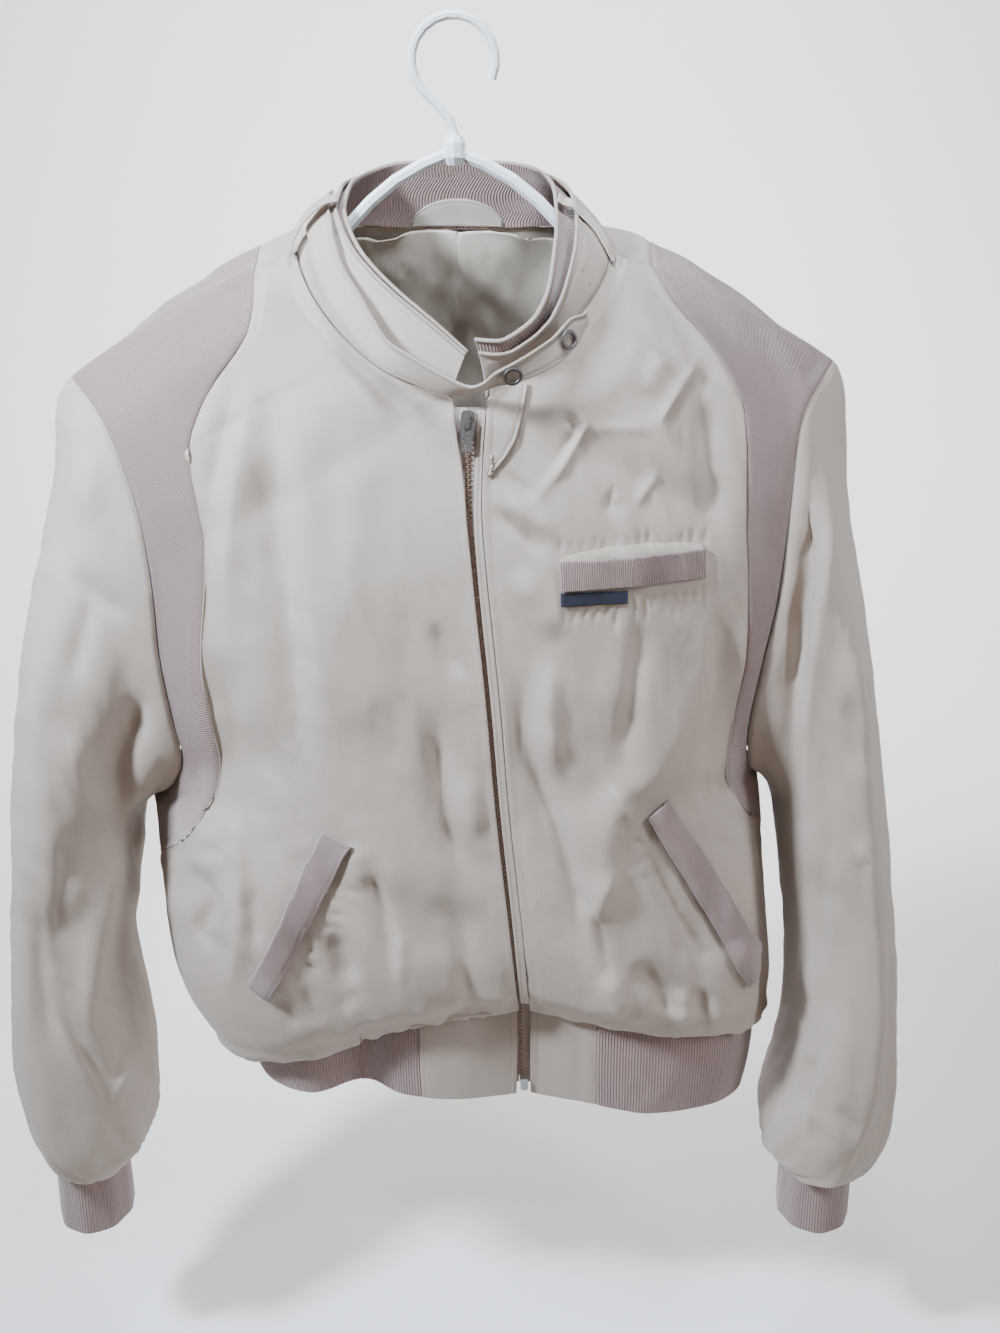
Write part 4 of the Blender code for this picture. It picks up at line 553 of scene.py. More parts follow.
# ---------------------------------------------------------------- throat strap and keeper loops
# The strap's upper edge (x y z) and its width towards the lower edge (dx dy dz), from behind the
# wearer's right loop, across the throat, to its tip on the wearer's left.
STRAP = table("x y z dx dy dz",
    (-0.0850, 0.0300, -0.1060, -0.0140, 0.0020, -0.0140),
    (-0.0835, 0.0000, -0.1125, -0.0150, 0.0000, -0.0130),
    (-0.0800, -0.0300, -0.1240, -0.0150, -0.0050, -0.0120),
    (-0.0770, -0.0440, -0.1330, -0.0140, -0.0070, -0.0130),
    (-0.0705, -0.0580, -0.1480, -0.0130, -0.0070, -0.0130),
    (-0.0583, -0.0740, -0.1650, -0.0120, -0.0060, -0.0140),
    (-0.0428, -0.0910, -0.1880, -0.0060, -0.0030, -0.0160),
    (-0.0280, -0.0990, -0.1980, 0.0000, 0.0020, -0.0170),
    (-0.0074, -0.1060, -0.2090, 0.0010, 0.0080, -0.0140),
    (0.0101, -0.1120, -0.2155, 0.0000, 0.0150, -0.0070),
    (0.0194, -0.1140, -0.2135, 0.0000, 0.0140, -0.0070),
    (0.0286, -0.1140, -0.2065, 0.0000, 0.0080, -0.0100),
    (0.0401, -0.1120, -0.2005, 0.0000, 0.0030, -0.0130),
    (0.0518, -0.1080, -0.1940, 0.0010, 0.0010, -0.0150),
    (0.0636, -0.1020, -0.1865, 0.0030, 0.0000, -0.0160),
    (0.0731, -0.0940, -0.1775, 0.0050, 0.0000, -0.0150),
    (0.0834, -0.0840, -0.1710, 0.0040, 0.0000, -0.0120))

# Keeper loops, from the collar top over the strap to the shoulder beside the neck.
LOOPS = {
    RIGHT: table("x y z",
        (-0.0770, -0.008, -0.1085), (-0.0860, -0.011, -0.1100), (-0.0965, -0.015, -0.1180),
        (-0.1050, -0.020, -0.1300), (-0.1090, -0.025, -0.1430)),
    LEFT: table("x y z",
        (0.0690, -0.005, -0.1075), (0.0810, -0.009, -0.1165), (0.0920, -0.014, -0.1270),
        (0.0990, -0.020, -0.1370), (0.1060, -0.024, -0.1460)),
}
LOOP_WIDE = 0.012


def blend_corners(corners, u, v):
    """A point between four named corners: u along, v across."""
    a, b, c, d = (np.array(corners[k]) for k in ("start_outer", "end_outer", "end_inner", "start_inner"))
    return (a * (1 - u) + b * u) * (1 - v) + (d * (1 - u) + c * u) * v


CHEST_WELT = {"start_outer": (0.0680, -0.3275), "end_outer": (0.1650, -0.3235),
              "end_inner": (0.1660, -0.3430), "start_inner": (0.0690, -0.3475)}
CHEST_TAG = {"start_outer": (0.0690, -0.3485), "end_outer": (0.1130, -0.3485),
             "end_inner": (0.1132, -0.3570), "start_inner": (0.0692, -0.3572)}
HAND_WELTS = {
    RIGHT: {"start_outer": (-0.0915, -0.5225), "end_outer": (-0.1500, -0.6470),
            "end_inner": (-0.1360, -0.6580), "start_inner": (-0.0710, -0.5315)},
    LEFT: {"start_outer": (0.1440, -0.5020), "end_outer": (0.2235, -0.6440),
           "end_inner": (0.2110, -0.6590), "start_inner": (0.1300, -0.5130)},
}
TONGUE = table("z inner outer",
    (-0.2740, 0.0215, 0.0222), (-0.2690, 0.0206, 0.0275), (-0.2600, 0.0206, 0.0350),
    (-0.2480, 0.0216, 0.0410), (-0.2350, 0.0226, 0.0440), (-0.2285, 0.0242, 0.0446))
TONGUE_END, TONGUE_TOP = -0.2740, -0.2285


def tongue_plan(u, v):
    """The tongue in plan, from its top down and from the zip outward."""
    z = TONGUE_TOP + (TONGUE_END - TONGUE_TOP) * u
    inner, outer = read(TONGUE, "z", "inner", z), read(TONGUE, "z", "outer", z)
    return inner + (outer - inner) * v, z


# ---------------------------------------------------------------- camera
FOCAL, PITCH = 1571.0, math.radians(20)            # in pixels of a 1000 x 1333 picture
EYE = np.array([0.0300, -1.0853, -0.0450])
PICTURE = (1000, 1333)

camera = bpy.data.objects.new("camera", bpy.data.cameras.new("camera"))
bpy.context.collection.objects.link(camera)
camera.data.sensor_width, camera.data.lens = 36.0, 36.0 * FOCAL / PICTURE[1]
camera.location = Vector(EYE)
camera.rotation_euler = (math.pi / 2 - PITCH, 0, 0)
bpy.context.scene.camera = camera


def seen_at(points):
    """Columns and rows of the picture at which points are seen."""
    d = points - EYE
    depth = d[..., 1] * math.cos(PITCH) - d[..., 2] * math.sin(PITCH)
    up = d[..., 1] * math.sin(PITCH) + d[..., 2] * math.cos(PITCH)
    return np.stack([PICTURE[0] / 2 + FOCAL * d[..., 0] / depth,
                     PICTURE[1] / 2 - FOCAL * up / depth], -1)


def add_mesh(name, corners, faces, finish, smooth=True):
    """A mesh of corners and faces as an object of the scene."""
    mesh = bpy.data.meshes.new(name)
    mesh.from_pydata(corners, [], faces)
    mesh.materials.append(finish)
    if smooth:
        mesh.shade_smooth()
    obj = bpy.data.objects.new(name, mesh)
    bpy.context.collection.objects.link(obj)
    return obj


# ---------------------------------------------------------------- fine grids
def spline(grid, steps, closed=False):
    """Smooth curves through the rows of a grid. A closed grid ends on its first row."""
    before, after = (grid[-2:-1], grid[1:2]) if closed else (2 * grid[:1] - grid[1:2],
                                                             2 * grid[-1:] - grid[-2:-1])
    p = np.concatenate([before, grid, after])
    u = np.linspace(0, 1, steps, endpoint=False).reshape(-1, 1, 1, 1)
    fine = curve(p[:-3], p[1:-2], p[2:-1], p[3:], u)
    fine = fine.transpose(1, 0, 2, 3).reshape(-1, *grid.shape[1:])
    return np.concatenate([fine, grid[-1:]])


def run_of(grid):
    """Distances along each column from its first point."""
    steps = np.linalg.norm(np.diff(grid, axis=0), axis=2)
    return np.concatenate([np.zeros((1, grid.shape[1])), np.cumsum(steps, axis=0)])


HEM_STEPS = np.array([0, 0.0010, 0.0022, 0.0036, 0.0054, 0.0078])      # closer points by a border
HEM_INSIDE = 0.0105                                                    # where the even ones begin


def respace(grid, count, edges=True):
    """Each column's points spaced evenly, and closer at its two ends."""
    run = run_of(grid)
    out = np.empty((count, grid.shape[1], 3))
    for j in range(grid.shape[1]):
        total = run[-1, j]
        if edges and total > 0.030:
            inner = np.linspace(HEM_INSIDE, total - HEM_INSIDE, count - 2 * len(HEM_STEPS))
            at = np.concatenate([HEM_STEPS, inner, total - HEM_STEPS[::-1]])
        else:
            at = np.linspace(0, total, count)
        for k in range(3):
            out[:, j, k] = np.interp(at, run[:, j], grid[:, j, k])
    return out


def turn_over(grid):
    """Rows as columns."""
    return grid.transpose(1, 0, 2)


def fine_grid(grid, rows, columns, closed=False, edges=(True, True)):
    """A grid made finer in both directions."""
    grid = spline(np.array(grid), 4)
    grid = turn_over(spline(turn_over(grid), 4, closed))
    grid = respace(grid, rows, edges[0])
    return turn_over(respace(turn_over(grid), columns, edges[1] and not closed))


def normals_of(grid, middle, closed=False):
    """Unit normals that point away from a middle point, or from one for each row."""
    down = np.gradient(grid, axis=0)
    if closed:
        ring = np.concatenate([grid[:, -2:-1], grid, grid[:, 1:2]], axis=1)
        along = (ring[:, 2:] - ring[:, :-2]) / 2
    else:
        along = np.gradient(grid, axis=1)
    n = np.cross(along, down)
    size = np.linalg.norm(n, axis=2, keepdims=True)
    n = n / np.maximum(size, 1e-12)
    away = grid - middle
    return n if (n * away).sum() > 0 else -n


def edge_distance(grid, which):
    """Distance of each point to one border: low and high are rows, left and right columns."""
    if which in ("low", "high"):
        run = run_of(grid)
        return run if which == "low" else run[-1:] - run
    run = run_of(turn_over(grid)).T
    return run if which == "left" else run[:, -1:] - run


def noise(x, seed):
    """Smooth waves along a line, between -1 and 1."""
    knots = np.random.RandomState(seed).uniform(-1, 1, 512)
    i = np.floor(x).astype(int)
    f = x - i
    f = f * f * (3 - 2 * f)
    return knots[i % 512] * (1 - f) + knots[(i + 1) % 512] * f


def noise2(x, y, seed):
    """Smooth bumps over a plane, between -1 and 1."""
    knots = np.random.RandomState(seed).uniform(-1, 1, (64, 64))
    i, j = np.floor(x).astype(int), np.floor(y).astype(int)
    f, g = x - i, y - j
    f, g = f * f * (3 - 2 * f), g * g * (3 - 2 * g)
    a, b, c, d = (knots[(i + p) % 64, (j + q) % 64] for p, q in ((0, 0), (1, 0), (0, 1), (1, 1)))
    return (a * (1 - f) + b * f) * (1 - g) + (c * (1 - f) + d * f) * g


def smoothstep(a, b, x):
    """The same as ease, for arrays."""
    u = np.clip((x - a) / (b - a), 0, 1)
    return u * u * (3 - 2 * u)


# ---------------------------------------------------------------- folds
# Each fold is a half-width and a height in millimetres (minus is a trough) and a path in the
# picture. A path is pressed only into cloth that faces the picture there.
FRONT_FOLDS = [
    (12, -4.0, (272, 345), (272, 465), (280, 580), (295, 700), (302, 800)),
    (9, 3.0, (258, 352), (245, 440), (230, 550), (232, 650)),
    (15, 2.5, (300, 368), (305, 540), (320, 690), (326, 800)),
    (6, -2.0, (235, 382), (220, 440), (206, 510)),
    (8, -2.6, (325, 345), (380, 385), (424, 425)),
    (8, 1.8, (360, 350), (400, 385), (440, 430)),
    (14, 1.5, (345, 405), (360, 470), (350, 590), (330, 660)),
    (12, -3.2, (215, 640), (235, 730), (302, 806)),
    (6, 3.0, (222, 780), (236, 840), (241, 930), (226, 1005)),
    (6, -2.2, (246, 885), (252, 955)),
    (6, -3.0, (182, 855), (210, 900), (201, 932), (226, 958)),
    (6, -2.0, (430, 620), (450, 660), (466, 684)),
    (9, -4.0, (435, 690), (440, 780), (452, 842), (492, 898)),
    (7, 2.6, (465, 770), (478, 846)),
    (8, -3.0, (425, 895), (460, 930), (470, 990), (492, 1034)),
    (6, -3.0, (360, 855), (380, 905), (393, 990)),
    (6, 2.2, (350, 838), (366, 894)),
    (5, 1.6, (400, 930), (401, 990)),
    (7, -3.6, (330, 930), (352, 990)),
    (7, -2.2, (295, 985), (322, 1032)),
    (8, 2.2, (345, 1000), (362, 1034)),
    (6, -2.6, (268, 993), (300, 1036)),
    (4, 2.0, (560, 390), (585, 427), (560, 470), (530, 507)),
    (4, -1.6, (552, 398), (576, 430), (552, 466)),
    (4, 1.2, (585, 427), (662, 430)),
    (5, 2.4, (706, 350), (660, 420), (686, 472)),
    (6, -2.2, (716, 362), (674, 424), (700, 470)),
    (9, -4.0, (694, 383), (710, 450), (718, 534)),
    (4, 1.6, (660, 470), (634, 508)),
    (4, -1.6, (615, 483), (610, 505), (632, 511)),
    (4, -1.6, (500, 470), (540, 500)),
    (6, -2.6, (490, 505), (552, 556)),
    (6, 1.8, (498, 494), (560, 540)),
    (9, 3.0, (512, 565), (538, 600), (562, 644)),
    (9, -4.4, (533, 655), (522, 730), (540, 792), (570, 880), (592, 994)),
    (8, 3.0, (552, 655), (550, 720), (558, 785)),
    (8, -3.6, (640, 598), (640, 650), (630, 720), (620, 784)),
    (9, -4.0, (725, 590), (725, 660), (712, 740), (712, 826)),
    (12, 3.0, (690, 618), (690, 690), (660, 765), (615, 806), (590, 930)),
    (7, 3.4, (746, 600), (748, 700), (746, 800)),
    (5, 2.4, (608, 780), (630, 824)),
    (7, 2.8, (616, 862), (586, 934)),
    (9, -5.0, (630, 965), (664, 995), (671, 1030)),
    (7, 3.6, (600, 972), (632, 1018)),
    (6, 3.0, (680, 988), (686, 1028)),
    (6, -3.6, (702, 985), (706, 1030)),
    (8, 3.0, (725, 938), (752, 988)),
    (6, -3.0, (640, 835), (690, 930), (722, 974)),
    (5, -2.0, (572, 880), (600, 930), (612, 985)),
    (10, 2.4, (660, 350), (640, 400)),
]


def gathers(start, end, reach, count, seed, width=2.0, height=0.8):
    """Short folds that run from a stitched edge, uneven in length and depth."""
    vary = np.random.RandomState(seed).uniform(0.5, 1.3, (count, 3))
    folds = []
    for k, (long, deep, side) in enumerate(vary):
        share = (k + 0.3 * side) / count
        x, y = (start[i] + (end[i] - start[i]) * share for i in (0, 1))
        folds.append((width, -height * deep, (x, y), (x + reach[0] * long, y + reach[1] * long)))
    return folds


# Gathers above and below the chest pocket, and beside both hand pockets.
for seed, (start, end, reach, count) in enumerate((((558, 552), (712, 543), (2, -14), 14),
                                                   ((562, 607), (626, 605), (-3, 24), 6),
                                                   ((630, 594), (710, 582), (4, 34), 8),
                                                   ((352, 872), (284, 982), (22, 8), 9),
                                                   ((641, 836), (722, 962), (-20, 9), 8)), 1):
    FRONT_FOLDS += gathers(start, end, reach, count, seed)
SLEEVE_CREASES = [
    (7, -2.6, (90, 590), (70, 690)),
    (7, -3.0, (60, 568), (100, 600), (136, 622)),
    (12, 2.4, (96, 438), (82, 530)),
    (8, -5.0, (146, 690), (122, 755), (114, 820)),
    (14, 4.6, (70, 715), (76, 785), (106, 838)),
    (8, 5.0, (166, 752), (140, 790), (120, 840), (100, 915), (86, 1000), (90, 1050), (105, 1108)),
    (8, -3.6, (76, 820), (62, 900), (60, 985)),
    (5, -4.0, (142, 792), (136, 862)),
    (5, 2.6, (48, 1006), (76, 1060), (104, 1108)),
    (5, -2.4, (60, 1003), (84, 1052), (106, 1096)),
    (5, 2.6, (137, 1056), (106, 1108)),
    (5, -2.2, (128, 1040), (112, 1086)),
    (7, -3.0, (36, 900), (44, 1000), (62, 1068)),
    (10, 2.0, (112, 880), (128, 960), (136, 1030)),
    (5, 2.0, (150, 860), (140, 900)),
    (7, 4.4, (836, 400), (831, 441), (827, 480), (824, 578), (819, 621), (810, 719), (806, 800)),
    (8, -5.0, (818, 410), (815, 480), (808, 578), (800, 640), (792, 719), (790, 800)),
    (5, -2.6, (800, 503), (815, 532), (790, 577)),
    (4, 2.2, (790, 618), (785, 692)),
    (4, 1.6, (828, 608), (856, 648)),
    (5, 2.6, (848, 843), (869, 862), (875, 945)),
    (8, 2.4, (835, 842), (836, 968)),
    (10, -2.6, (822, 850), (816, 990)),
    (6, 3.8, (824, 1056), (816, 1096), (809, 1140)),
    (6, -3.6, (812, 1050), (802, 1120)),
    (6, -2.6, (838, 1100), (852, 1124), (872, 1142)),
    (9, -2.6, (850, 690), (862, 780)),
    (10, 2.2, (868, 640), (876, 760)),
]
# The same kinds of fold on the hidden sides, in a picture taken from straight behind, in millimetres
# from the middle and below the hook.
REAR_FOLDS = [
    (14, 4.0, (-120, 240), (-80, 330), (-60, 450)),
    (12, -3.4, (-96, 250), (-66, 330), (-40, 430)),
    (14, 4.0, (120, 235), (84, 330), (66, 440)),
    (12, -3.4, (100, 250), (66, 340), (44, 440)),
    (16, -3.0, (-16, 190), (-10, 330), (-20, 520)),
    (12, 3.4, (-170, 500), (-120, 600), (-100, 700)),
    (10, -3.6, (-140, 500), (-104, 590), (-84, 690)),
    (12, 3.4, (172, 480), (130, 590), (104, 700)),
    (10, -3.6, (146, 480), (108, 580), (88, 690)),
    (9, 3.0, (-40, 600), (-30, 690)),
    (8, -3.0, (10, 590), (22, 690)),
    (8, 2.8, (56, 600), (62, 690)),
    (9, 2.4, (-206, 560), (-180, 690)),
    (9, -2.6, (205, 560), (190, 680)),
    (9, 4.4, (-262, 330), (-280, 450), (-292, 560)),
    (9, -4.0, (-284, 340), (-300, 450), (-312, 560)),
    (10, 4.4, (-256, 560), (-300, 640), (-318, 740)),
    (8, -4.0, (-272, 560), (-314, 660)),
    (8, 3.6, (-270, 690), (-290, 780)),
    (9, 4.4, (254, 330), (268, 450), (280, 560)),
    (9, -4.0, (276, 340), (288, 450), (298, 560)),
    (10, 4.4, (250, 560), (290, 640), (308, 740)),
    (8, -4.0, (266, 560), (306, 660)),
    (8, 3.6, (262, 690), (284, 780)),
]


PATH_SAMPLES = 90
SHARP_WIDTH = 5             # folds up to this half-width in millimetres are creased along straight runs


def nearest(points, path, sharp):
    """Distance to a path and the share of the way along it, for points in a plane."""
    if sharp:
        at = np.linspace(0, len(path) - 1, PATH_SAMPLES)
        line = np.stack([np.interp(at, range(len(path)), [p[k] for p in path]) for k in (0, 1)], 1)
    else:
        line = smooth_line(path, PATH_SAMPLES)
    d = np.hypot(points[:, None, 0] - line[None, :, 0], points[:, None, 1] - line[None, :, 1])
    near = d.argmin(axis=1)
    return d[np.arange(len(points)), near], near / (PATH_SAMPLES - 1)


def press(flat, facing, folds, scale):
    """How far a list of folds moves points out; scale is the plane's units in a millimetre."""
    out = np.zeros(len(flat))
    for width, height, *path in folds:
        reach = 2.6 * width * scale
        low, high = np.min(path, axis=0) - reach, np.max(path, axis=0) + reach
        inside = np.where(((flat > low) & (flat < high)).all(axis=1) & (facing > 0.02))[0]
        if len(inside) == 0:
            continue
        sharp = width <= SHARP_WIDTH
        width = width if sharp else 1.3 * width
        d, share = nearest(flat[inside], path, sharp)
        ends = smoothstep(0, 0.36, share) * smoothstep(0, 0.36, 1 - share)
        past = np.clip(1 - d / reach, 0, 1)
        shape = np.exp(-(d / (width * scale)) ** (1.3 if sharp else 2))
        shape = shape * (0.08 + 0.92 * ends) * past ** 0.5
        out[inside] += height / 1000 * shape * smoothstep(0.02, 0.45, facing[inside])
    return out


PIXELS_PER_MM = 1.42


def pressed(grid, normals, folds, strength):
    """Heights of the folds of the front and of the hidden sides at each point of a grid."""
    points, n = grid.reshape(-1, 3), normals.reshape(-1, 3)
    sight = EYE - points
    sight /= np.linalg.norm(sight, axis=1, keepdims=True)
    front = press(seen_at(points), (n * sight).sum(axis=1), folds, PIXELS_PER_MM)
    plan = np.stack([points[:, 0], -points[:, 2]], 1) * 1000
    rear = press(plan, n[:, 1], REAR_FOLDS, 1.0)
    return (front + rear).reshape(grid.shape[:2]) * strength


def crumple(grid, fine=1.0, seed=0):
    """Soft unevenness of hanging cloth, longer downward than across."""
    x, y, z = (grid[..., k] * 1000 for k in range(3))
    around_body = x + 0.8 * y
    wide = noise2(around_body / 38 + 7, z / 95, seed) * 0.0016
    middle = noise2(around_body / 17 + 3, z / 75, seed + 1) * 0.0007
    lean = around_body + 0.35 * z
    middle = middle + (0.3 - np.abs(noise2(lean / 24 + 5, z / 120, seed + 3))) * 0.0013
    small = noise2((around_body + z * 0.5) / 8, (z - around_body * 0.4) / 17, seed + 2) * 0.00022
    return wide + middle + small * fine


# ---------------------------------------------------------------- pieces
def middle_of(grid, x=0.01, y=0.0):
    """A point inside the body at each point's own height."""
    middle = grid.copy()
    middle[..., 0], middle[..., 1] = x, y
    return middle


outsides = {}       # the outer faces of each made sheet


class Sheet:
    """A fine grid on a piece's outer face, moved along its normals before it is made a mesh."""

    def __init__(self, name, grid, middle=None, closed=False):
        middle = middle_of(grid) if middle is None else middle
        self.name, self.grid, self.closed, self.middle = name, grid, closed, middle
        self.cut = grid.copy()
        self.normals = normals_of(grid, middle, closed)
        self.stitch = np.full(grid.shape[:2], 0.05)
        self.along = np.zeros(grid.shape[:2])
        self.missing = np.zeros((grid.shape[0] - 1, grid.shape[1] - 1), bool)

    def border(self, which):
        """Distance of each point to a border, before the folds."""
        return edge_distance(self.cut, which)

    def move(self, height):
        """Each point moves out along its normal."""
        self.grid = self.grid + self.normals * np.asarray(height)[..., None]

    def crease(self, folds, strength, seed, soft, uneven=1.2, fine=1.6):
        """Placed folds, then the soft unevenness of hanging cloth; soft holds both back at seams."""
        self.move(pressed(self.grid, self.normals, folds, strength) * soft)
        self.move(uneven * crumple(self.grid, fine, seed=seed) * soft)

    def settle(self):
        """Later moves follow the cloth as it lies now."""
        self.normals = normals_of(self.grid, self.middle, self.closed)

    def seam(self, *borders, dip=0.0010, width=0.0016):
        """The cloth turns in at a seam."""
        for which in borders:
            self.move(-dip * np.exp(-(self.border(which) / width) ** 2))

    def topstitch(self, offset, *borders, dip=0.0005):
        """A line of stitching beside a border."""
        for which in borders:
            d = np.abs(self.border(which) - offset)
            along = self.border("left" if which in ("low", "high") else "low")
            nearer = d < self.stitch
            self.along = np.where(nearer, along, self.along)
            self.stitch = np.where(nearer, d, self.stitch)
            self.move(-dip * np.exp(-(d / 0.0014) ** 2))

    def pucker(self, which, seed, height=0.0006, pitch=0.009, reach=0.012):
        """Small ripples that run away from a gathered or stitched border."""
        d = self.border(which)
        along = self.border("left" if which in ("low", "high") else "low")
        ripple = noise(along / pitch * 2 + 11, seed) * 0.7 + noise(along / pitch * 4.3 + 5, seed + 1) * 0.3
        self.move(height * ripple * np.exp(-d / reach))

    def make(self, thick, finish, slot, nodes=(), rests_on=("hanger",)):
        """The mesh, a wall of the given thickness and its finish; the CAD parts it stands for are hidden.
        slot is not used.
        """
        rows, columns = self.grid.shape[:2]
        wide = columns - 1 if self.closed else columns
        points = self.grid[:, :wide].reshape(-1, 3)
        i, j = np.meshgrid(np.arange(rows - 1), np.arange(columns - 1), indexing="ij")
        k = (j + 1) % wide if self.closed else j + 1
        quads = np.stack([i * wide + j, i * wide + k, (i + 1) * wide + k, (i + 1) * wide + j], -1)
        corner_rows = np.stack([i, i, i + 1, i + 1], -1).reshape(-1)
        corner_columns = np.stack([j, j + 1, j + 1, j], -1).reshape(-1)
        p = self.grid
        turned = np.cross(p[0:-1, 1:] - p[0:-1, :-1], p[1:, :-1] - p[:-1, :-1])
        if (turned * self.normals[:-1, :-1]).sum() < 0:
            order = [0, 3, 2, 1]
            quads = quads[..., order]
            corner_rows = corner_rows.reshape(-1, 4)[:, order].reshape(-1)
            corner_columns = corner_columns.reshape(-1, 4)[:, order].reshape(-1)
        kept = ~self.missing.reshape(-1)
        quads = quads.reshape(-1, 4)[kept]
        corner_rows = corner_rows.reshape(-1, 4)[kept].reshape(-1)
        corner_columns = corner_columns.reshape(-1, 4)[kept].reshape(-1)
        obj = add_mesh(self.name, points.tolist(), quads.tolist(), finish)
        across, down = self.border("left"), self.border("low")
        uv = np.stack([across.mean(axis=0)[corner_columns], down.mean(axis=1)[corner_rows]], -1)
        obj.data.uv_layers.new(name="cloth").data.foreach_set("uv", uv.reshape(-1))
        for title, values in (("stitch", self.stitch), ("along", self.along)):
            layer = obj.data.attributes.new(title, "FLOAT", "POINT")
            layer.data.foreach_set("value", values[:, :wide].reshape(-1))
        wall = obj.modifiers.new("wall", "SOLIDIFY")
        wall.thickness, wall.offset, wall.use_even_offset = thick, -1.0, False
        corner = self.cut[:-1, :-1]
        faces = np.linalg.norm(np.cross(self.cut[1:, :-1] - corner, self.cut[:-1, 1:] - corner), axis=2)
        area = (faces * ~self.missing).sum()
        size = [float(across.max()), float(down.max())]
        if area < 0.4 * size[0] * size[1]:
            size[0] = area / (0.7 * size[1])
        size = [max(value, 0.0101) for value in size]
        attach(obj, "jacket")
        if nodes:
            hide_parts(*nodes)
        outsides[self.name] = (points, quads)


def outer_faces(*names):
    """The outer faces of made pieces, for laying others on them."""
    corners, faces = [], []
    for name in names:
        points, quads = outsides[name]
        faces += (quads + len(corners)).tolist()
        corners += points.tolist()
    return BVHTree.FromPolygons(corners, faces)


# ---------------------------------------------------------------- finishes
def linked(tree, kind, settings=None, **inputs):
    """A node with its inputs set to values or joined to other nodes' outputs."""
    made = tree.nodes.new(kind)
    for key, value in (settings or {}).items():
        setattr(made, key, value)
    for key, value in inputs.items():
        socket = made.inputs[int(key[1:])] if key[0] == "i" and key[1:].isdigit() else made.inputs[
            key.replace("_", " ")]
        if isinstance(value, bpy.types.NodeSocket):
            tree.links.new(value, socket)
        else:
            socket.default_value = value
    return made


def blend(tree, share, a, b):
    """A mix of two colours."""
    made = linked(tree, "ShaderNodeMix", {"data_type": "RGBA", "blend_type": "MIX"}, i0=share, i6=a, i7=b)
    return made.outputs[2]


def sums(tree, how, a, b):
    """Arithmetic on two values."""
    return linked(tree, "ShaderNodeMath", {"operation": how}, i0=a, i1=b).outputs[0]


def shade(colour, k):
    """A colour made k times as bright."""
    return (colour[0] * k, colour[1] * k, colour[2] * k, 1)


def new_finish(name, rough, metal=0.0):
    """A material, its node tree and its shader."""
    mat = bpy.data.materials.new(name)
    mat.use_nodes = True
    tree = mat.node_tree
    shader = tree.nodes["Principled BSDF"]
    shader.inputs["Roughness"].default_value = rough
    shader.inputs["Metallic"].default_value = metal
    return mat, tree, shader


WAVE = 0.314159             # scale of a wave texture whose bands are one metre apart


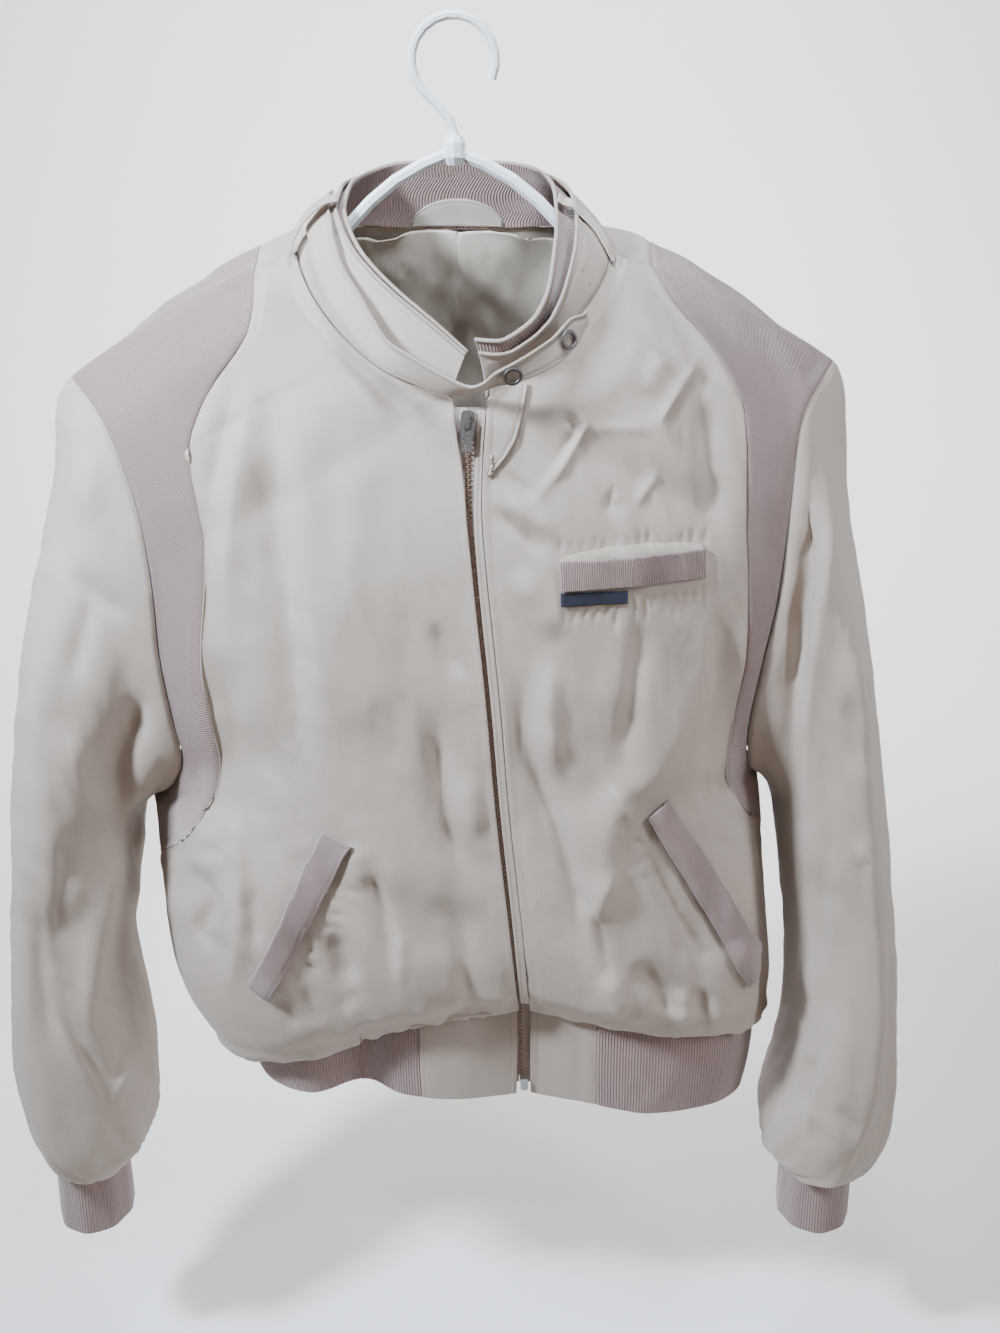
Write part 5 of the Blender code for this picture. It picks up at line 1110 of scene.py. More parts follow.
def fabric(name, colour, rough, sheen, ribs=None, weave=0.0007, crinkle=0.35, thread_and_groove_shade=0.72):
    """Cloth: ribs is the pitch and direction of a rib knit, and weave the pitch of plain threads."""
    mat, tree, shader = new_finish(name, rough)
    shader.inputs["Sheen Weight"].default_value = sheen
    shader.inputs["Sheen Roughness"].default_value = 0.45
    shader.inputs["Specular IOR Level"].default_value = 0.25
    place = tree.nodes.new("ShaderNodeTexCoord").outputs["Object"]
    cloth = linked(tree, "ShaderNodeUVMap", {"uv_map": "cloth"}).outputs[0]
    wide = linked(tree, "ShaderNodeTexNoise", Vector=place, Scale=7.0, Detail=4.0, Roughness=0.55)
    tone = blend(tree, wide.outputs[0], shade(colour, 0.90), shade(colour, 1.08))
    speck = linked(tree, "ShaderNodeTexNoise", Vector=cloth, Scale=1100.0, Detail=2.0)
    tone = blend(tree, 0.22, tone, blend(tree, speck.outputs[0], shade(colour, 0.62), shade(colour, 1.32)))
    if ribs:
        pitch, way = ribs
        other = "Y" if way == "X" else "X"
        rib = linked(tree, "ShaderNodeTexWave", {"bands_direction": way}, Vector=cloth,
                     Scale=WAVE / pitch, Distortion=0.35, Detail=1.0).outputs["Fac"]
        course = linked(tree, "ShaderNodeTexWave", {"bands_direction": other}, Vector=cloth,
                        Scale=WAVE / (pitch * 0.55), Distortion=0.8, Detail=1.0).outputs["Fac"]
        # Painted shade: the rib's grooves are coloured darker than its ridges.
        tone = blend(tree, rib, blend(tree, 0.55, tone, shade(colour, 0.42)), tone)
        height = sums(tree, "ADD", rib, sums(tree, "MULTIPLY", course, 0.22))
        depth = 0.0009
    else:
        warp = linked(tree, "ShaderNodeTexWave", {"bands_direction": "X"}, Vector=cloth,
                      Scale=WAVE / weave, Distortion=1.2, Detail=2.0).outputs["Fac"]
        weft = linked(tree, "ShaderNodeTexWave", {"bands_direction": "Y"}, Vector=cloth,
                      Scale=WAVE / weave, Distortion=1.2, Detail=2.0).outputs["Fac"]
        height = sums(tree, "MULTIPLY", warp, weft)
        # Painted shade: where the weave sinks between its threads it is coloured a little darker.
        tone = blend(tree, sums(tree, "MULTIPLY", height, 0.30), shade(colour, 0.93), tone)
        depth = 0.00018
    # Stitch lines get a colour of their own: partly the thread's colour in dashes, and partly painted shade
    # of the sunken stitch groove, which also lies between the dashes.
    off = linked(tree, "ShaderNodeAttribute", {"attribute_name": "stitch"}).outputs["Fac"]
    along = linked(tree, "ShaderNodeAttribute", {"attribute_name": "along"}).outputs["Fac"]
    line = linked(tree, "ShaderNodeMapRange", i0=off, i1=0.0003, i2=0.0009, i3=1.0, i4=0.0).outputs[0]
    beat = linked(tree, "ShaderNodeMath", {"operation": "SINE"}, i0=sums(tree, "MULTIPLY", along, 2094.0))
    dash = linked(tree, "ShaderNodeMapRange", i0=beat.outputs[0], i1=-0.7, i2=-0.2, i3=0.25, i4=1.0)
    tone = blend(tree, sums(tree, "MULTIPLY", line, dash.outputs[0]), tone, shade(colour, thread_and_groove_shade))
    tree.links.new(tone, shader.inputs["Base Color"])
    stretched = linked(tree, "ShaderNodeMapping", Vector=place, Scale=(1.0, 1.0, 0.55)).outputs[0]
    folds = linked(tree, "ShaderNodeTexNoise", Vector=stretched, Scale=95.0, Detail=3.0, Roughness=0.6)
    kinks = linked(tree, "ShaderNodeTexNoise", {"noise_type": "RIDGED_MULTIFRACTAL"}, Vector=stretched,
                   Scale=15.0, Detail=2.0, Roughness=0.45)
    sharp = linked(tree, "ShaderNodeBump", Strength=0.8 * crinkle, Distance=0.0016, Height=kinks.outputs[0])
    soft = linked(tree, "ShaderNodeBump", Strength=crinkle, Distance=0.0012, Height=folds.outputs[0],
                  Normal=sharp.outputs[0])
    fine = linked(tree, "ShaderNodeBump", Strength=0.8, Distance=depth, Height=height,
                  Normal=soft.outputs[0])
    tree.links.new(fine.outputs[0], shader.inputs["Normal"])
    return mat


def hard(name, colour, rough, metal, patchy, grain):
    """Metal or plastic with small scratches, handling marks and uneven gloss."""
    mat, tree, shader = new_finish(name, rough, metal)
    place = tree.nodes.new("ShaderNodeTexCoord").outputs["Object"]
    marks = linked(tree, "ShaderNodeTexNoise", Vector=place, Scale=grain, Detail=6.0, Roughness=0.65)
    tree.links.new(blend(tree, marks.outputs[0], shade(colour, 1 - patchy), shade(colour, 1 + patchy)),
                   shader.inputs["Base Color"])
    gloss = linked(tree, "ShaderNodeMapRange", i0=marks.outputs[0], i1=0.3, i2=0.7, i3=rough * 0.8,
                   i4=min(rough * 1.35, 1.0))
    tree.links.new(gloss.outputs[0], shader.inputs["Roughness"])
    uneven = linked(tree, "ShaderNodeBump", Strength=0.25, Distance=0.0002, Height=marks.outputs[0])
    tree.links.new(uneven.outputs[0], shader.inputs["Normal"])
    return mat


STONE = (0.460, 0.370, 0.300)
ROSE = (0.375, 0.255, 0.222)
CREAM = (0.600, 0.500, 0.390)
INK = (0.016, 0.017, 0.028)
woven = fabric("woven_stone_cloth", STONE, 0.74, 0.12)
knit_across = fabric("rib_knit_across", ROSE, 0.92, 0.35, ribs=(0.0022, "X"), crinkle=0.15)
knit_fine = fabric("rib_knit_fine", ROSE, 0.92, 0.35, ribs=(0.0014, "X"), crinkle=0.15)
knit_level = fabric("rib_knit_level", ROSE, 0.92, 0.35, ribs=(0.0017, "Y"), crinkle=0.22)
taffeta = fabric("beige_taffeta", CREAM, 0.50, 0.20, weave=0.0005, crinkle=0.9)
label_weave = fabric("bare_label_weave", (0.50, 0.43, 0.35), 0.75, 0.15, weave=0.0005, crinkle=0.1)
tag_weave = fabric("dark_tag_weave", INK, 0.70, 0.2, weave=0.0005, crinkle=0.1, thread_and_groove_shade=2.4)
tape_weave = fabric("zip_tape_weave", (0.42, 0.33, 0.28), 0.85, 0.2, weave=0.0008, crinkle=0.1)
steel = hard("grey_zip_metal", (0.52, 0.50, 0.48), 0.28, 0.95, 0.16, 900.0)
ring_metal = hard("dark_snap_metal", (0.11, 0.095, 0.085), 0.42, 0.8, 0.16, 900.0)
tooth_metal = hard("zip_teeth_metal", (0.34, 0.23, 0.17), 0.42, 0.7, 0.2, 700.0)
plastic = hard("white_hanger_plastic", (0.80, 0.83, 0.85), 0.30, 0.0, 0.04, 60.0)

# Rows and columns of each sheet's mesh.
FRONT_MESH, BACK_HALF_MESH, INSET_MESH = (214, 124), (180, 80), (168, 34)
SLEEVE_MESH, CUFF_MESH, COLLAR_MESH = (224, 133), (40, 97), (36, 210)
BAND_MESH_ROWS = 42
LINING_FRONT_MESH, LINING_BACK_HALF_MESH = (60, 40), (66, 48)
STRIP_MESH, STRAP_MESH, LOOP_MESH = (200, 16), (22, 230), (14, 40)

# How strongly the folds are pressed into each kind of piece.
FRONT_PRESS, BACK_PRESS, INSET_PRESS, SLEEVE_PRESS = 1.9, 1.6, 0.5, 1.7

# ---------------------------------------------------------------- shell
FINE_ROWS = np.interp(np.linspace(0, len(ROWS) - 1, 55), range(len(ROWS)), ROWS)
WORDS = ((RIGHT, "right"), (LEFT, "left"))


def damping(sheet, reach=0.014, keep=0.12, **borders):
    """Folds fade out towards the seams that are named."""
    share = np.ones(sheet.grid.shape[:2])
    for which, at in borders.items():
        share *= keep + (1 - keep) * smoothstep(0, at or reach, sheet.border(which))
    return share


def waist_gathers(sheet, seed):
    """The body is gathered into the band's rib: puckers over the bloused edge, fewer at the zip."""
    p = sheet.grid
    around_band = np.arctan2(p[..., 0] - 0.02, -p[..., 1] * 2.2) * 0.13
    near_zip = np.exp(-((p[..., 0] - 0.045) / 0.065) ** 2) * (p[..., 1] < 0)
    strength = (1 - 0.75 * near_zip) * np.exp(-sheet.border("low") / 0.062)
    ripple = noise(around_band / 0.0125 + 20, seed) * 0.6 + noise(around_band / 0.0062 + 9, seed + 1) * 0.4
    sheet.move(0.0050 * ripple * strength)


def body_rows(side, face, columns):
    """From the band's seam, under the bloused edge and up to the shoulder."""
    seam, fold = [], []
    for q in columns:
        p, out, droop, stand = band_point(band_share(side, face, spread(q, 1)))[:4]
        seam.append(np.array([*(p + out * 0.0020), BAND_TOP - 0.0010]))
        fold.append(np.array([*(p + out * (stand * 0.55 + 0.001)), BAND_TOP - droop - 0.004]))
    seam, fold = np.array(seam), np.array(fold)
    body = [[body_point(side, face, spread(q, inset_seam(side, face, t)), t) for q in columns]
            for t in FINE_ROWS]
    return np.array([seam, seam * 0.66 + fold * 0.34, seam * 0.3 + fold * 0.7, fold] + body)


BODY_COLUMNS = np.linspace(0, 1, 20)
for side, word in WORDS:
    grid = fine_grid(body_rows(side, FRONT, BODY_COLUMNS), *FRONT_MESH)
    sheet = Sheet(f"front_{word}_cloth", grid)
    soft = damping(sheet, left=0.012, right=0.010, high=0.012)
    sheet.crease(FRONT_FOLDS, FRONT_PRESS, 20 + side, soft)
    waist_gathers(sheet, 40)
    sheet.settle()
    sheet.seam("right", "high")
    sheet.topstitch(0.0060, "left")
    sheet.topstitch(0.0016, "right")
    sheet.pucker("left", 60 + side, 0.0004, 0.011, 0.010)
    sheet.make(CLOTH, woven, "woven_cloth", [f"front_{word}"])


def both_halves(name, right, left, rows, columns):
    """One sheet from two halves that share their centre line up to the neck and part above it."""
    right, left = (fine_grid(half, rows, columns) for half in (right, left))
    grid = np.concatenate([right[:, ::-1], left[:, 1:]], axis=1)
    sheet = Sheet(name, grid)
    apart = np.linalg.norm(right[:, 0] - left[:, 0], axis=1) > 0.0004
    sheet.missing[:, columns - 1] = apart[1:]
    return sheet


halves = [body_rows(side, BACK, BODY_COLUMNS) for side in (RIGHT, LEFT)]
sheet = both_halves("back_cloth", *halves, *BACK_HALF_MESH)
soft = damping(sheet, left=0.010, right=0.010, high=0.012)
sheet.crease(FRONT_FOLDS, BACK_PRESS, 30, soft, uneven=1.3)
waist_gathers(sheet, 40)
sheet.settle()
sheet.seam("left", "right", "high")
sheet.topstitch(0.0016, "left", "right")
sheet.make(CLOTH, woven, "woven_cloth", ["back"])

for side, word in WORDS:
    for face in (FRONT, BACK):
        grid = []
        for t in [TIP + 0.010, *FINE_ROWS[FINE_ROWS > TIP + 0.015]]:
            seam = spread(1, inset_seam(side, face, t))
            grid.append([body_point(side, face, s, t) for s in np.linspace(seam, 1, 9)])
        grid = fine_grid(grid, *INSET_MESH)
        sheet = Sheet(f"inset_{face}_{word}_knit", grid)
        soft = damping(sheet, left=0.006, right=0.010, high=0.012)
        sheet.crease(FRONT_FOLDS, INSET_PRESS, 50 + side, soft, uneven=1.0, fine=0.5)
        sheet.settle()
        sheet.seam("left", "right", "high")
        sheet.make(RIB, knit_level, "rib_knit", [f"inset_{face}_{word}"])

# ---------------------------------------------------------------- sleeves and cuffs
TURNS = np.linspace(0, 2 * math.pi, 41)
CUFF_WAVES = 9              # soft waves round a cuff


def ring_middles(grid):
    """The middle of each row of a closed grid."""
    return np.repeat(grid[:, :-1].mean(axis=1, keepdims=True), grid.shape[1], axis=1)


for side, word in WORDS:
    base = [[sleeve_point(side, v, turn % (2 * math.pi)) for turn in TURNS]
            for v in np.linspace(0, 1, 48)]
    grid = fine_grid(base, *SLEEVE_MESH, closed=True)
    sheet = Sheet(f"sleeve_{word}_cloth", grid, ring_middles(grid), closed=True)
    soft = damping(sheet, keep=0.05, low=0.022, high=0.014)
    sheet.crease(SLEEVE_CREASES, SLEEVE_PRESS, 70 + side, soft, fine=2.0)
    girth = sheet.border("left")
    ripple = noise(girth / 0.0115 + 30, 90 + side) * 0.6 + noise(girth / 0.0055 + 12, 92 + side) * 0.4
    loop = smoothstep(0, 0.03, girth) * smoothstep(0, 0.03, sheet.border("right"))
    high = sheet.border("high")
    sheet.move(0.0048 * ripple * loop * np.exp(-high / 0.045) * smoothstep(0, 0.006, high))
    sheet.settle()
    sheet.seam("low")
    sheet.topstitch(0.0018, "low")
    sheet.pucker("low", 80 + side, 0.0004, 0.010, 0.012)
    sheet.make(CLOTH, woven, "woven_cloth", [f"sleeve_{word}"])

    end = np.array([sleeve_ring_point(side, 1, turn) for turn in TURNS])
    end[-1] = end[0]
    middle = end[:-1].mean(axis=0)
    out = (end - middle)[:, :2]
    out /= np.linalg.norm(out, axis=1, keepdims=True)
    grid = []
    for z, flare in zip(np.linspace(CUFF_TOP, CUFF_END, 9), np.linspace(0, 0.0016, 9)):
        ring = end[:, :2] - out * 0.0011
        ring = ring + (ring - middle[:2]) * flare * 12
        grid.append(np.column_stack([ring, np.full(len(ring), z)]))
    grid = fine_grid(grid, *CUFF_MESH, closed=True)
    sheet = Sheet(f"cuff_{word}_knit", grid, ring_middles(grid), closed=True)
    sheet.move(crumple(sheet.grid, 0.3, seed=100 + side) * 0.5)
    girth = sheet.border("left")
    wave = np.sin(girth / girth.max() * 2 * math.pi * CUFF_WAVES)
    sheet.move(0.0005 * wave * smoothstep(0, 0.03, sheet.border("low")))
    sheet.settle()
    sheet.make(RIB, knit_across, "rib_knit", [f"cuff_{word}"], [f"sleeve_{word}_cloth"])

# ---------------------------------------------------------------- waistband
for name, a, b, finish, slot_name, thick, columns in (
        ("waistband_front_right", 0, BAND_FRONT_RIGHT, woven, "woven_cloth", CLOTH * 1.5, 46),
        ("waistband_rib", BAND_FRONT_RIGHT, BAND_FRONT_LEFT, knit_across, "rib_knit", RIB, 340),
        ("waistband_front_left", BAND_FRONT_LEFT, 1, woven, "woven_cloth", CLOTH * 1.5, 40)):
    grid = []
    for h in np.linspace(0, 1, 9):
        row = []
        for w in np.linspace(a, b, 90):
            p, out, _, _, hem = band_point(w)
            bow = 0.003 * math.sin(math.pi * h) - 0.002 * h
            row.append(np.array([*(p + out * bow), BAND_TOP + (BAND_HEM - hem - BAND_TOP) * h]))
        grid.append(row)
    grid = fine_grid(grid, BAND_MESH_ROWS, columns)
    sheet = Sheet(f"{name}_cloth", grid, middle_of(grid, 0.03))
    where = sheet.border("left") + a * 1.1
    level = smoothstep(0, 0.02, sheet.border("high")) * 0.6 + 0.4
    sheet.move((noise(where / 0.030 + 4, 110) * 0.0013 + noise(where / 0.013 + 4, 111) * 0.0006) * level)
    sheet.settle()
    sheet.seam("left", "right", dip=0.0007)
    if finish is woven:
        sheet.topstitch(0.0050, "left" if a == 0 else "right")
        sheet.topstitch(0.0030, "right" if a == 0 else "left")
    sheet.make(thick, finish, slot_name, [name], rests_on=["front_right_cloth"])

# ---------------------------------------------------------------- collar
front_rows = np.interp(np.linspace(12, 18, 25), range(len(ROWS)), ROWS)
back_rows = np.interp(np.linspace(14, 18, 17), range(len(ROWS)), ROWS)
STATIONS = [(RIGHT, FRONT, t) for t in front_rows] + [(RIGHT, BACK, t) for t in back_rows[-2::-1]]
STATIONS += [(LEFT, BACK, t) for t in back_rows[1:]] + [(LEFT, FRONT, t) for t in front_rows[-2::-1]]
HEIGHTS = np.linspace(0, 1, 9)
outer = [[collar_point(*at, h * covered(*at[:2], at[2]), SPLAY[at[0]] * ease(0.1, 0.5, around(*at[1:])))
          for at in STATIONS] for h in HEIGHTS]
inner = [[collar_point(*at, h) for at in STATIONS] for h in HEIGHTS]


def ring_middle(grid):
    """The middle of the neck at each point's height."""
    return middle_of(grid, *RING_MIDDLE)


grid = fine_grid(outer, *COLLAR_MESH)
sheet = Sheet("collar_outer_cloth", grid, ring_middle(grid))
sheet.move(crumple(sheet.grid, 3.0, seed=120) * 0.5 * damping(sheet, low=0.008))
sheet.settle()
sheet.seam("low")
sheet.topstitch(0.0050, "high")
sheet.make(CLOTH, woven, "woven_cloth", ["collar_outer"])
collar_edge = sheet.grid[-1]
grid = fine_grid(inner, *COLLAR_MESH)
sheet = Sheet("collar_rib_knit", grid, ring_middle(grid))
sheet.move(-COLLAR_STEP + crumple(sheet.grid, 0.3, seed=124) * 0.25)
sheet.settle()
sheet.make(RIB, knit_across, "rib_knit", ["collar_rib"], rests_on=["collar_outer_cloth"])
rib_edge = sheet.grid[-1]

# ---------------------------------------------------------------- lining and label
LINING_ROWS = FINE_ROWS[FINE_ROWS >= 0.54]
LINING_SHARE = 7 / 9        # how far it reaches from the centre towards the inset


def lining_rows(side, face):
    """The lining follows the panel's rows, clear of the zip and the inset's seam."""
    grid = []
    for t in LINING_ROWS:
        row = np.array([spread(q, inset_seam(side, face, t)) for q in np.linspace(0, LINING_SHARE, 15)])
        if face == FRONT:
            row[0] = 0.075 * (1 - ease(NECK, 0.80, t))
        grid.append([body_point(side, face, s, t) for s in row])
    return np.array(grid)


def line_with(sheet, nodes, seed):
    """A lining piece behind the shell, with soft vertical folds, clear of the shell's deepest ones."""
    sheet.move(np.minimum(pressed(sheet.grid, sheet.normals, FRONT_FOLDS, FRONT_PRESS), 0) - 0.0008)
    edges = damping(sheet, keep=0.0, left=0.02, right=0.02, high=0.02)
    p = sheet.grid
    wave = noise2(p[..., 0] / 0.016 + 9, p[..., 2] / 0.060 + 5, seed) * 0.0028
    sheet.move(-LINING_DEPTH - 0.0040 * edges + (wave * 1.5 - 2 * crumple(p, 4.0, seed=seed)) * edges)
    sheet.settle()
    sheet.make(THIN["lining"], taffeta, "taffeta_lining", nodes, rests_on=["back_cloth"])


for side, word in WORDS:
    grid = fine_grid(lining_rows(side, FRONT), *LINING_FRONT_MESH)
    sheet = Sheet(f"lining_front_{word}_taffeta", grid)
    line_with(sheet, [f"lining_front_{word}"], 130 + side)
halves = [lining_rows(side, BACK) for side in (RIGHT, LEFT)]
line_with(both_halves("lining_back_taffeta", *halves, *LINING_BACK_HALF_MESH), ["lining_back"], 134)

LABEL_WIDE, LABEL_TALL, LABEL_LOW = 0.064, 0.0190, -0.1325
LABEL_COLUMNS, LABEL_ROWS = 33, 12
rib_faces = outer_faces("collar_rib_knit")
label = []
for j in range(LABEL_ROWS):
    row = []
    for i in range(LABEL_COLUMNS):
        share = i / (LABEL_COLUMNS - 1)
        high = LABEL_LOW + LABEL_TALL * math.sqrt(max(1 - (2 * share - 1) ** 2, 0.03))
        z = LABEL_LOW + (high - LABEL_LOW) * j / (LABEL_ROWS - 1)
        p = cast(rib_faces, ((share - 0.5) * LABEL_WIDE, -0.02, z), (0, 1, 0))
        row.append(p - (0, RIB + 0.0012, 0))
    label.append(row)
grid = np.array(label)
sheet = Sheet("neck_label_weave", grid, middle_of(grid, 0.0, 0.2))
sheet.topstitch(0.0015, "high")
sheet.make(THIN["label"], label_weave, "taffeta_lining", ["neck_label"], rests_on=["collar_rib_knit"])


# ---------------------------------------------------------------- what lies on the fronts
def lay(name, on, plan, thick, stand, rows, columns):
    """A piece on a made front: plan gives x, z and stand how far its back is off the cloth."""
    tree = outer_faces(on)

    def spot(x, z):
        """The cloth in front of a point of the plan, or straight above its edge."""
        for below in range(40):
            hit = cast(tree, (x, -0.5, z - 0.0005 * below), (0, 1, 0))
            if hit.ndim:
                return hit[0], hit[1], z

    across, down = np.linspace(0, 1, columns), np.linspace(0, 1, rows)
    grid = np.array([[spot(*plan(u, v)) for u in across] for v in down])
    sheet = Sheet(name, grid)
    sheet.move([[stand(u, v) + thick for u in across] for v in down])
    sheet.settle()
    return sheet


def rounded(d, reach=0.0016, height=0.0008):
    """A border that is turned in round its edge."""
    return -height * (1 - np.sqrt(np.clip(1 - (1 - np.clip(d / reach, 0, 1)) ** 2, 0, 1)))


BED = 0.0010
WELT_THICK = 0.0022
sheet = lay("chest_pocket_welt_knit", "front_left_cloth",
            lambda u, v: blend_corners(CHEST_WELT, u, v) - (0, 0.0022 * u), WELT_THICK,
            lambda u, v: BED + 0.0050 * math.sin(math.pi * u) * (1 - v), 22, 90)
for which in ("low", "left", "right"):
    sheet.move(rounded(sheet.border(which)))
sheet.make(RIB, knit_fine, "rib_knit", ["chest_pocket_welt"], rests_on=["front_left_cloth"])
# The pocket's own lining shows in the mouth above the welt.
sheet = lay("chest_pocket_mouth_taffeta", "front_left_cloth",
            lambda u, v: (0.0690 + 0.0955 * u, -0.3262 + 0.0018 * u + 0.0058 * math.sin(math.pi * u) ** 0.7
                          - 0.0085 * v), 0.0006, lambda u, v: 0.0003, 12, 60)
sheet.topstitch(0.0006, "low", "high", dip=0.0002)
sheet.make(0.0005, taffeta, "taffeta_lining", rests_on=["front_left_cloth"])
sheet = lay("chest_tag_weave", "front_left_cloth", lambda u, v: blend_corners(CHEST_TAG, u, v), 0.0008,
            lambda u, v: BED, 12, 50)
sheet.topstitch(0.0008, "left", "right", dip=0.0002)
sheet.make(THIN["tag"], tag_weave, "dark_tag", ["chest_tag"], rests_on=["front_left_cloth"])
for side, word in WORDS:
    sheet = lay(f"hand_pocket_{word}_knit", f"front_{word}_cloth",
                lambda u, v, c=HAND_WELTS[side]: blend_corners(c, u, v), WELT_THICK,
                lambda u, v: BED + 0.0014 + 0.0040 * math.sin(math.pi * u) * (1 - v), 26, 110)
    for which in ("low", "left", "right", "high"):
        sheet.move(rounded(sheet.border(which)))
    sheet.topstitch(0.0020, "left", "right", "high")
    sheet.make(RIB, knit_fine, "rib_knit", [f"hand_pocket_{word}"],
               rests_on=[f"front_{word}_cloth"])


def tongue_spot(u, v):
    """The tongue's plan, run up a little further, under the strap."""
    x, z = tongue_plan(u, v)
    return x + 0.0030 * v * (1 - u) ** 3, z + 0.0110 * (1 - u) ** 3


sheet = lay("throat_tongue_cloth", "front_left_cloth", tongue_spot, CLOTH, lambda u, v: 0.0012, 30, 44)
sheet.topstitch(0.0026, "high")
sheet.make(CLOTH, woven, "woven_cloth", ["throat_tongue"], rests_on=["front_left_cloth"])

# ---------------------------------------------------------------- zip
def strip_point(z, share):
    """A point of the guard strip, from its free edge to the left front's edge."""
    free, sewn = read(ZIP, "z", "strip_edge", z), read(ZIP, "z", "left_edge", z)
    return zip_point(z, free * (1 - share) + sewn * share - 0.0006 * share, 0.0002)


grid = [[strip_point(z, share) for share in np.linspace(0, 1, 7)]
        for z in np.linspace(STRIP_END, STRIP_TOP, 60)]
grid = fine_grid(grid, *STRIP_MESH, edges=(False, False))
sheet = Sheet("placket_strip_left_cloth", grid)
sheet.move(-0.0004 * np.exp(-(sheet.border("left") / 0.0009) ** 2))
sheet.topstitch(0.0024, "left", dip=0.0003)
sheet.make(THIN["strip"], woven, "woven_cloth", ["placket_strip_left"], rests_on=["front_left_cloth"])

tape_at = np.concatenate([np.linspace(TAPE_END, -0.6450, 24), np.linspace(-0.6400, TAPE_TOP, 50)])
for side, word in WORDS:
    grid = np.array([[zip_point(z, side * x, read(ZIP, "z", "tape_y", z) - read(ZIP, "z", "y", z))
                      for x in np.linspace(0.0002, TAPE_WIDE, 6)] for z in tape_at])
    sheet = Sheet(f"zip_tape_{word}_weave", grid)
    sheet.make(THIN["tape"], tape_weave, "zip_tape", [f"zip_tape_{word}"],
               rests_on=[f"front_{word}_cloth"])


def box_mesh(name, boxes, finish):
    """One mesh of small blocks; each is a middle, three axes as columns and three sizes."""
    corners, faces = [], []
    signs = np.array([(x, y, z) for z in (-1, 1) for x, y in ((-1, -1), (1, -1), (1, 1), (-1, 1))]) / 2
    for at, axes, sizes in boxes:
        n = len(corners)
        corners += [at + axes @ (s * sizes) for s in signs]
        faces += [[n + k for k in ring] for ring in ((3, 2, 1, 0), (4, 5, 6, 7), (0, 1, 5, 4), (1, 2, 6, 5),
                                                     (2, 3, 7, 6), (3, 0, 4, 7))]
    obj = add_mesh(name, [tuple(p) for p in corners], faces, finish, smooth=False)
    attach(obj, "jacket")


TOOTH_PITCH = 0.0016
TOOTH_SIZE = np.array([0.0026, 0.0012, 0.0010])
TEETH_END, TEETH_TOP = -0.7470, -0.2480
teeth = []
for n, z in enumerate(np.arange(TEETH_END, TEETH_TOP, TOOTH_PITCH)):
    side = RIGHT if n % 2 else LEFT
    at = zip_point(z, side * 0.0006, read(ZIP, "z", "tape_y", z) - read(ZIP, "z", "y", z) - 0.0007)
    ahead = zip_point(z + 0.002, 0, 0) - zip_point(z - 0.002, 0, 0)
    ahead /= np.linalg.norm(ahead)
    across = np.cross(ahead, [0, 1.0, 0])
    across /= np.linalg.norm(across)
    teeth.append((at, np.stack([across, -np.cross(across, ahead), ahead], 1), TOOTH_SIZE))
box_mesh("zip_teeth", teeth, tooth_metal)

# ---------------------------------------------------------------- strap, loops and piped edges
strap_line = smooth_line(points_of(STRAP, "x y z dx dy dz"))
neck_walls = outer_faces("collar_outer_cloth", "front_right_cloth", "front_left_cloth", "back_cloth")


def strap_point(a, b, clear=STRAP_THICK + 0.0018):
    """A point of the strap; a runs along it, b across it from the upper edge."""
    row = on_line(strap_line, a)
    tip = ease(0.955, 1, a)
    b = 0.5 + (b - 0.5) * (1 - 0.45 * tip)
    return stand_clear(neck_walls, row[:3] + row[3:] * b, clear)


grid = np.array([[strap_point(a, b) for a in np.linspace(0, 1, 100)] for b in np.linspace(0, 1, 9)])
grid = fine_grid(grid, *STRAP_MESH, edges=(False, False))
sheet = Sheet("throat_strap_cloth", grid, ring_middle(grid))
sheet.move(crumple(sheet.grid, 3.0, seed=140) * 0.30)
for which in ("low", "high", "right"):
    sheet.move(rounded(sheet.border(which), 0.0014, 0.0007))
sheet.settle()
sheet.topstitch(0.0022, "low", "high", dip=0.0003)
sheet.make(STRAP_THICK, woven, "woven_cloth", ["throat_strap"], rests_on=["collar_outer_cloth"])
strap_edge = sheet.grid[0]

strap_walls = outer_faces("collar_outer_cloth", "collar_rib_knit", "front_right_cloth", "front_left_cloth",
                          "back_cloth", "throat_strap_cloth")
for side, word in WORDS:
    line = smooth_line(points_of(LOOPS[side]))
    across = np.array([side * 0.12, 1.0, 0.30]) * LOOP_WIDE / 2
    grid = np.array([[stand_clear(strap_walls, on_line(line, u) + across * b, 0.0030)
                      for u in np.linspace(0, 1, 12)] for b in np.linspace(-1, 1, 5)])
    grid = fine_grid(grid, *LOOP_MESH, edges=(False, False))
    sheet = Sheet(f"strap_loop_{word}_cloth", grid, ring_middle(grid))
    sheet.topstitch(0.0016, "low", "high", dip=0.0002)
    sheet.make(THIN["loop"], woven, "woven_cloth", [f"strap_loop_{word}"],
               rests_on=["throat_strap_cloth"])


def piping(name, line, radius, sides=8):
    """A rolled edge along a line of points."""
    line = np.array(line)
    along = np.gradient(line, axis=0)
    along /= np.linalg.norm(along, axis=1, keepdims=True)
    first = np.cross(along, [0, 0, 1.0])
    first /= np.linalg.norm(first, axis=1, keepdims=True)
    second = np.cross(along, first)
    turns = np.linspace(0, 2 * math.pi, sides, endpoint=False)
    rings = [line + radius * (math.cos(t) * first + math.sin(t) * second) for t in turns]
    corners = np.stack(rings, 1).reshape(-1, 3)
    starts = range(0, (len(line) - 1) * sides, sides)
    faces = [[a + j, a + (j + 1) % sides, a + sides + (j + 1) % sides, a + sides + j]
             for a in starts for j in range(sides)]
    faces += [list(range(sides))[::-1], list(range((len(line) - 1) * sides, len(line) * sides))]
    obj = add_mesh(name, corners.tolist(), faces, woven)
    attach(obj, "jacket")


piping("throat_strap_piping", strap_edge, 0.0012)
piping("collar_outer_piping", collar_edge, 0.0013)
piping("collar_rib_piping", rib_edge - np.array([0, 0, 0.0004]), 0.0014)

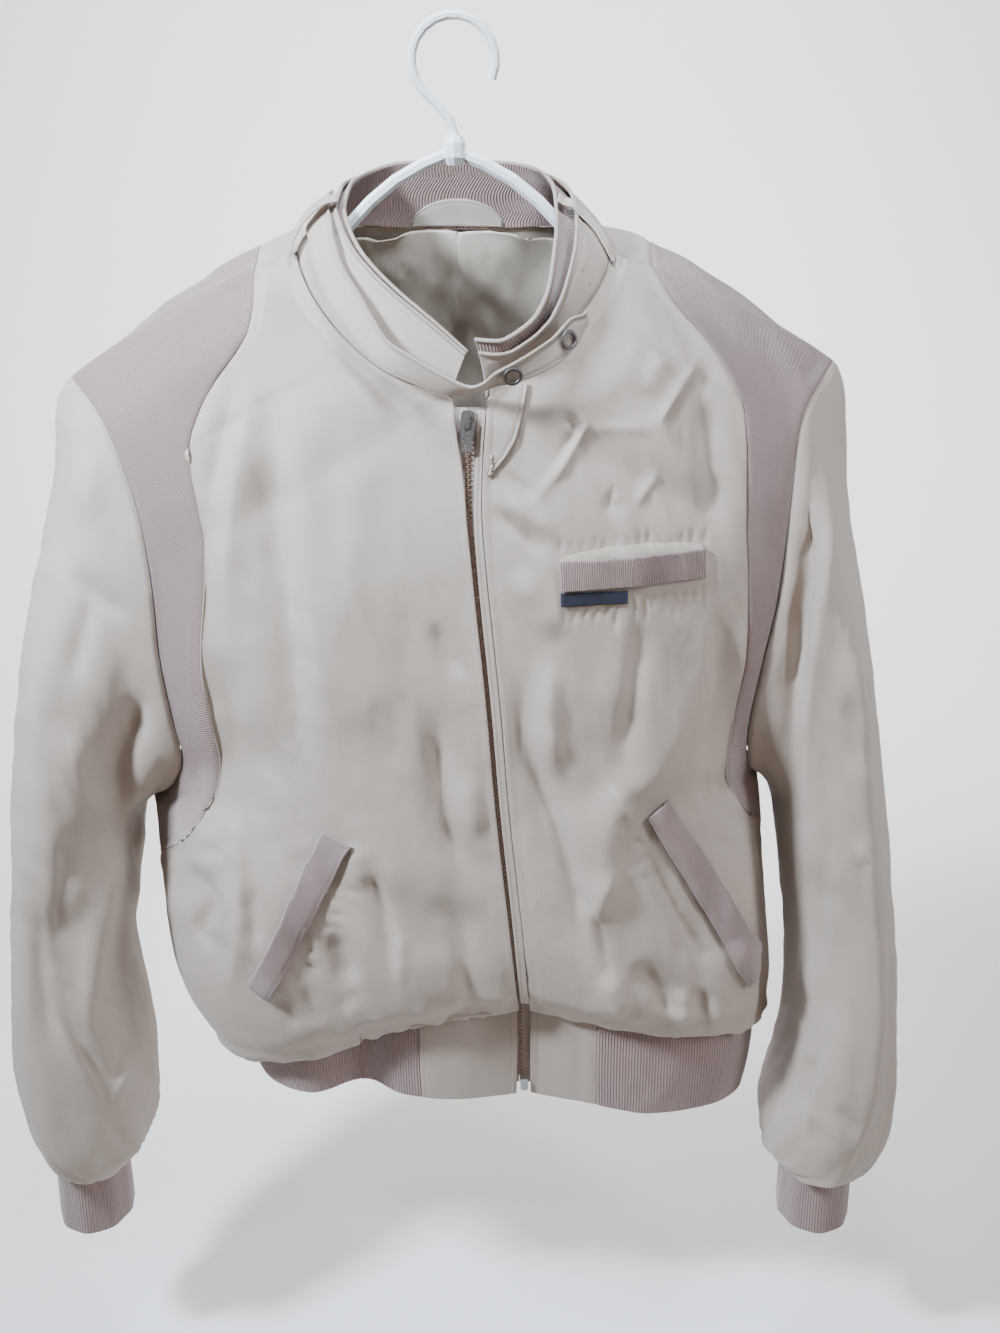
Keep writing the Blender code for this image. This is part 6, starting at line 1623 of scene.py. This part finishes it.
# ---------------------------------------------------------------- hard nodes keep their shapes
for name, finish in (("zip_slider", steel), ("zip_pull", steel), ("zip_bottom_box", steel),
                     ("snap_front", ring_metal), ("snap_side", ring_metal), ("hanger", plastic)):
    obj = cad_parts[name]
    for at in range(len(obj.material_slots)):
        obj.material_slots[at].material = finish

# ---------------------------------------------------------------- floor, light and finish
FLOOR = -1.02
SWEEP = 1.6                 # radius of the backdrop behind the floor
sweep = [(y, FLOOR) for y in (-6.0, -3.0, 0.0, 1.2)]
sweep += [(1.2 + SWEEP * math.sin(a), FLOOR + SWEEP * (1 - math.cos(a)))
          for a in np.linspace(0.12, math.pi / 2, 14)]
sweep += [(2.8, 2.6)]
floor_finish, floor_tree, floor_shader = new_finish("pale_floor", 0.9)
grains = linked(floor_tree, "ShaderNodeTexNoise", Scale=3.0, Detail=3.0)
floor_tree.links.new(blend(floor_tree, grains.outputs[0], (0.86, 0.86, 0.86, 1), (0.90, 0.90, 0.90, 1)),
                     floor_shader.inputs["Base Color"])
corners = [(x, y, z) for y, z in sweep for x in (-6.0, 6.0)]
faces = [[2 * i, 2 * i + 1, 2 * i + 3, 2 * i + 2] for i in range(len(sweep) - 1)]
floor = add_mesh("floor", corners, faces, floor_finish)


def lamp(name, at, aim, size, power, colour, cone):
    """A soft rectangular lamp that shines towards a point, in a cone of so many degrees."""
    data = bpy.data.lights.new(name, "AREA")
    data.shape, data.size, data.size_y = "RECTANGLE", size[0], size[1]
    data.energy, data.color, data.spread = power, colour, math.radians(cone)
    obj = bpy.data.objects.new(name, data)
    bpy.context.collection.objects.link(obj)
    obj.location = at
    obj.rotation_euler = (Vector(aim) - Vector(at)).to_track_quat("-Z", "Y").to_euler()


lamp("window_light", (-0.95, -0.62, 0.44), (-0.07, 0.0, -0.36), (0.18, 0.22), 13.0, (0.69, 0.83, 1.0), 80)
lamp("side_window", (1.10, -0.60, 0.15), (0.24, 0.0, -0.45), (0.2, 0.6), 1.8, (0.74, 0.85, 1.0), 60)
lamp("top_light", (0.03, -0.30, 0.70), (0.0, 0.03, -0.25), (0.3, 0.3), 1.4, (0.70, 0.83, 1.0), 40)
lamp("room_fill", (0.8, -1.7, -0.8), (0.05, 0.0, -0.55), (1.2, 1.2), 0.7, (1.0, 0.66, 0.44), 60)
lamp("backdrop_light", (0.0, 2.0, 1.7), (0.0, 2.2, -1.0), (3.0, 0.8), 100.0, (1.0, 0.99, 0.98), 120)
world = bpy.data.worlds.new("world")
world.use_nodes = True
world.node_tree.nodes["Background"].inputs["Color"].default_value = (1.0, 0.91, 0.82, 1)
world.node_tree.nodes["Background"].inputs["Strength"].default_value = 0.15
bpy.context.scene.world = world
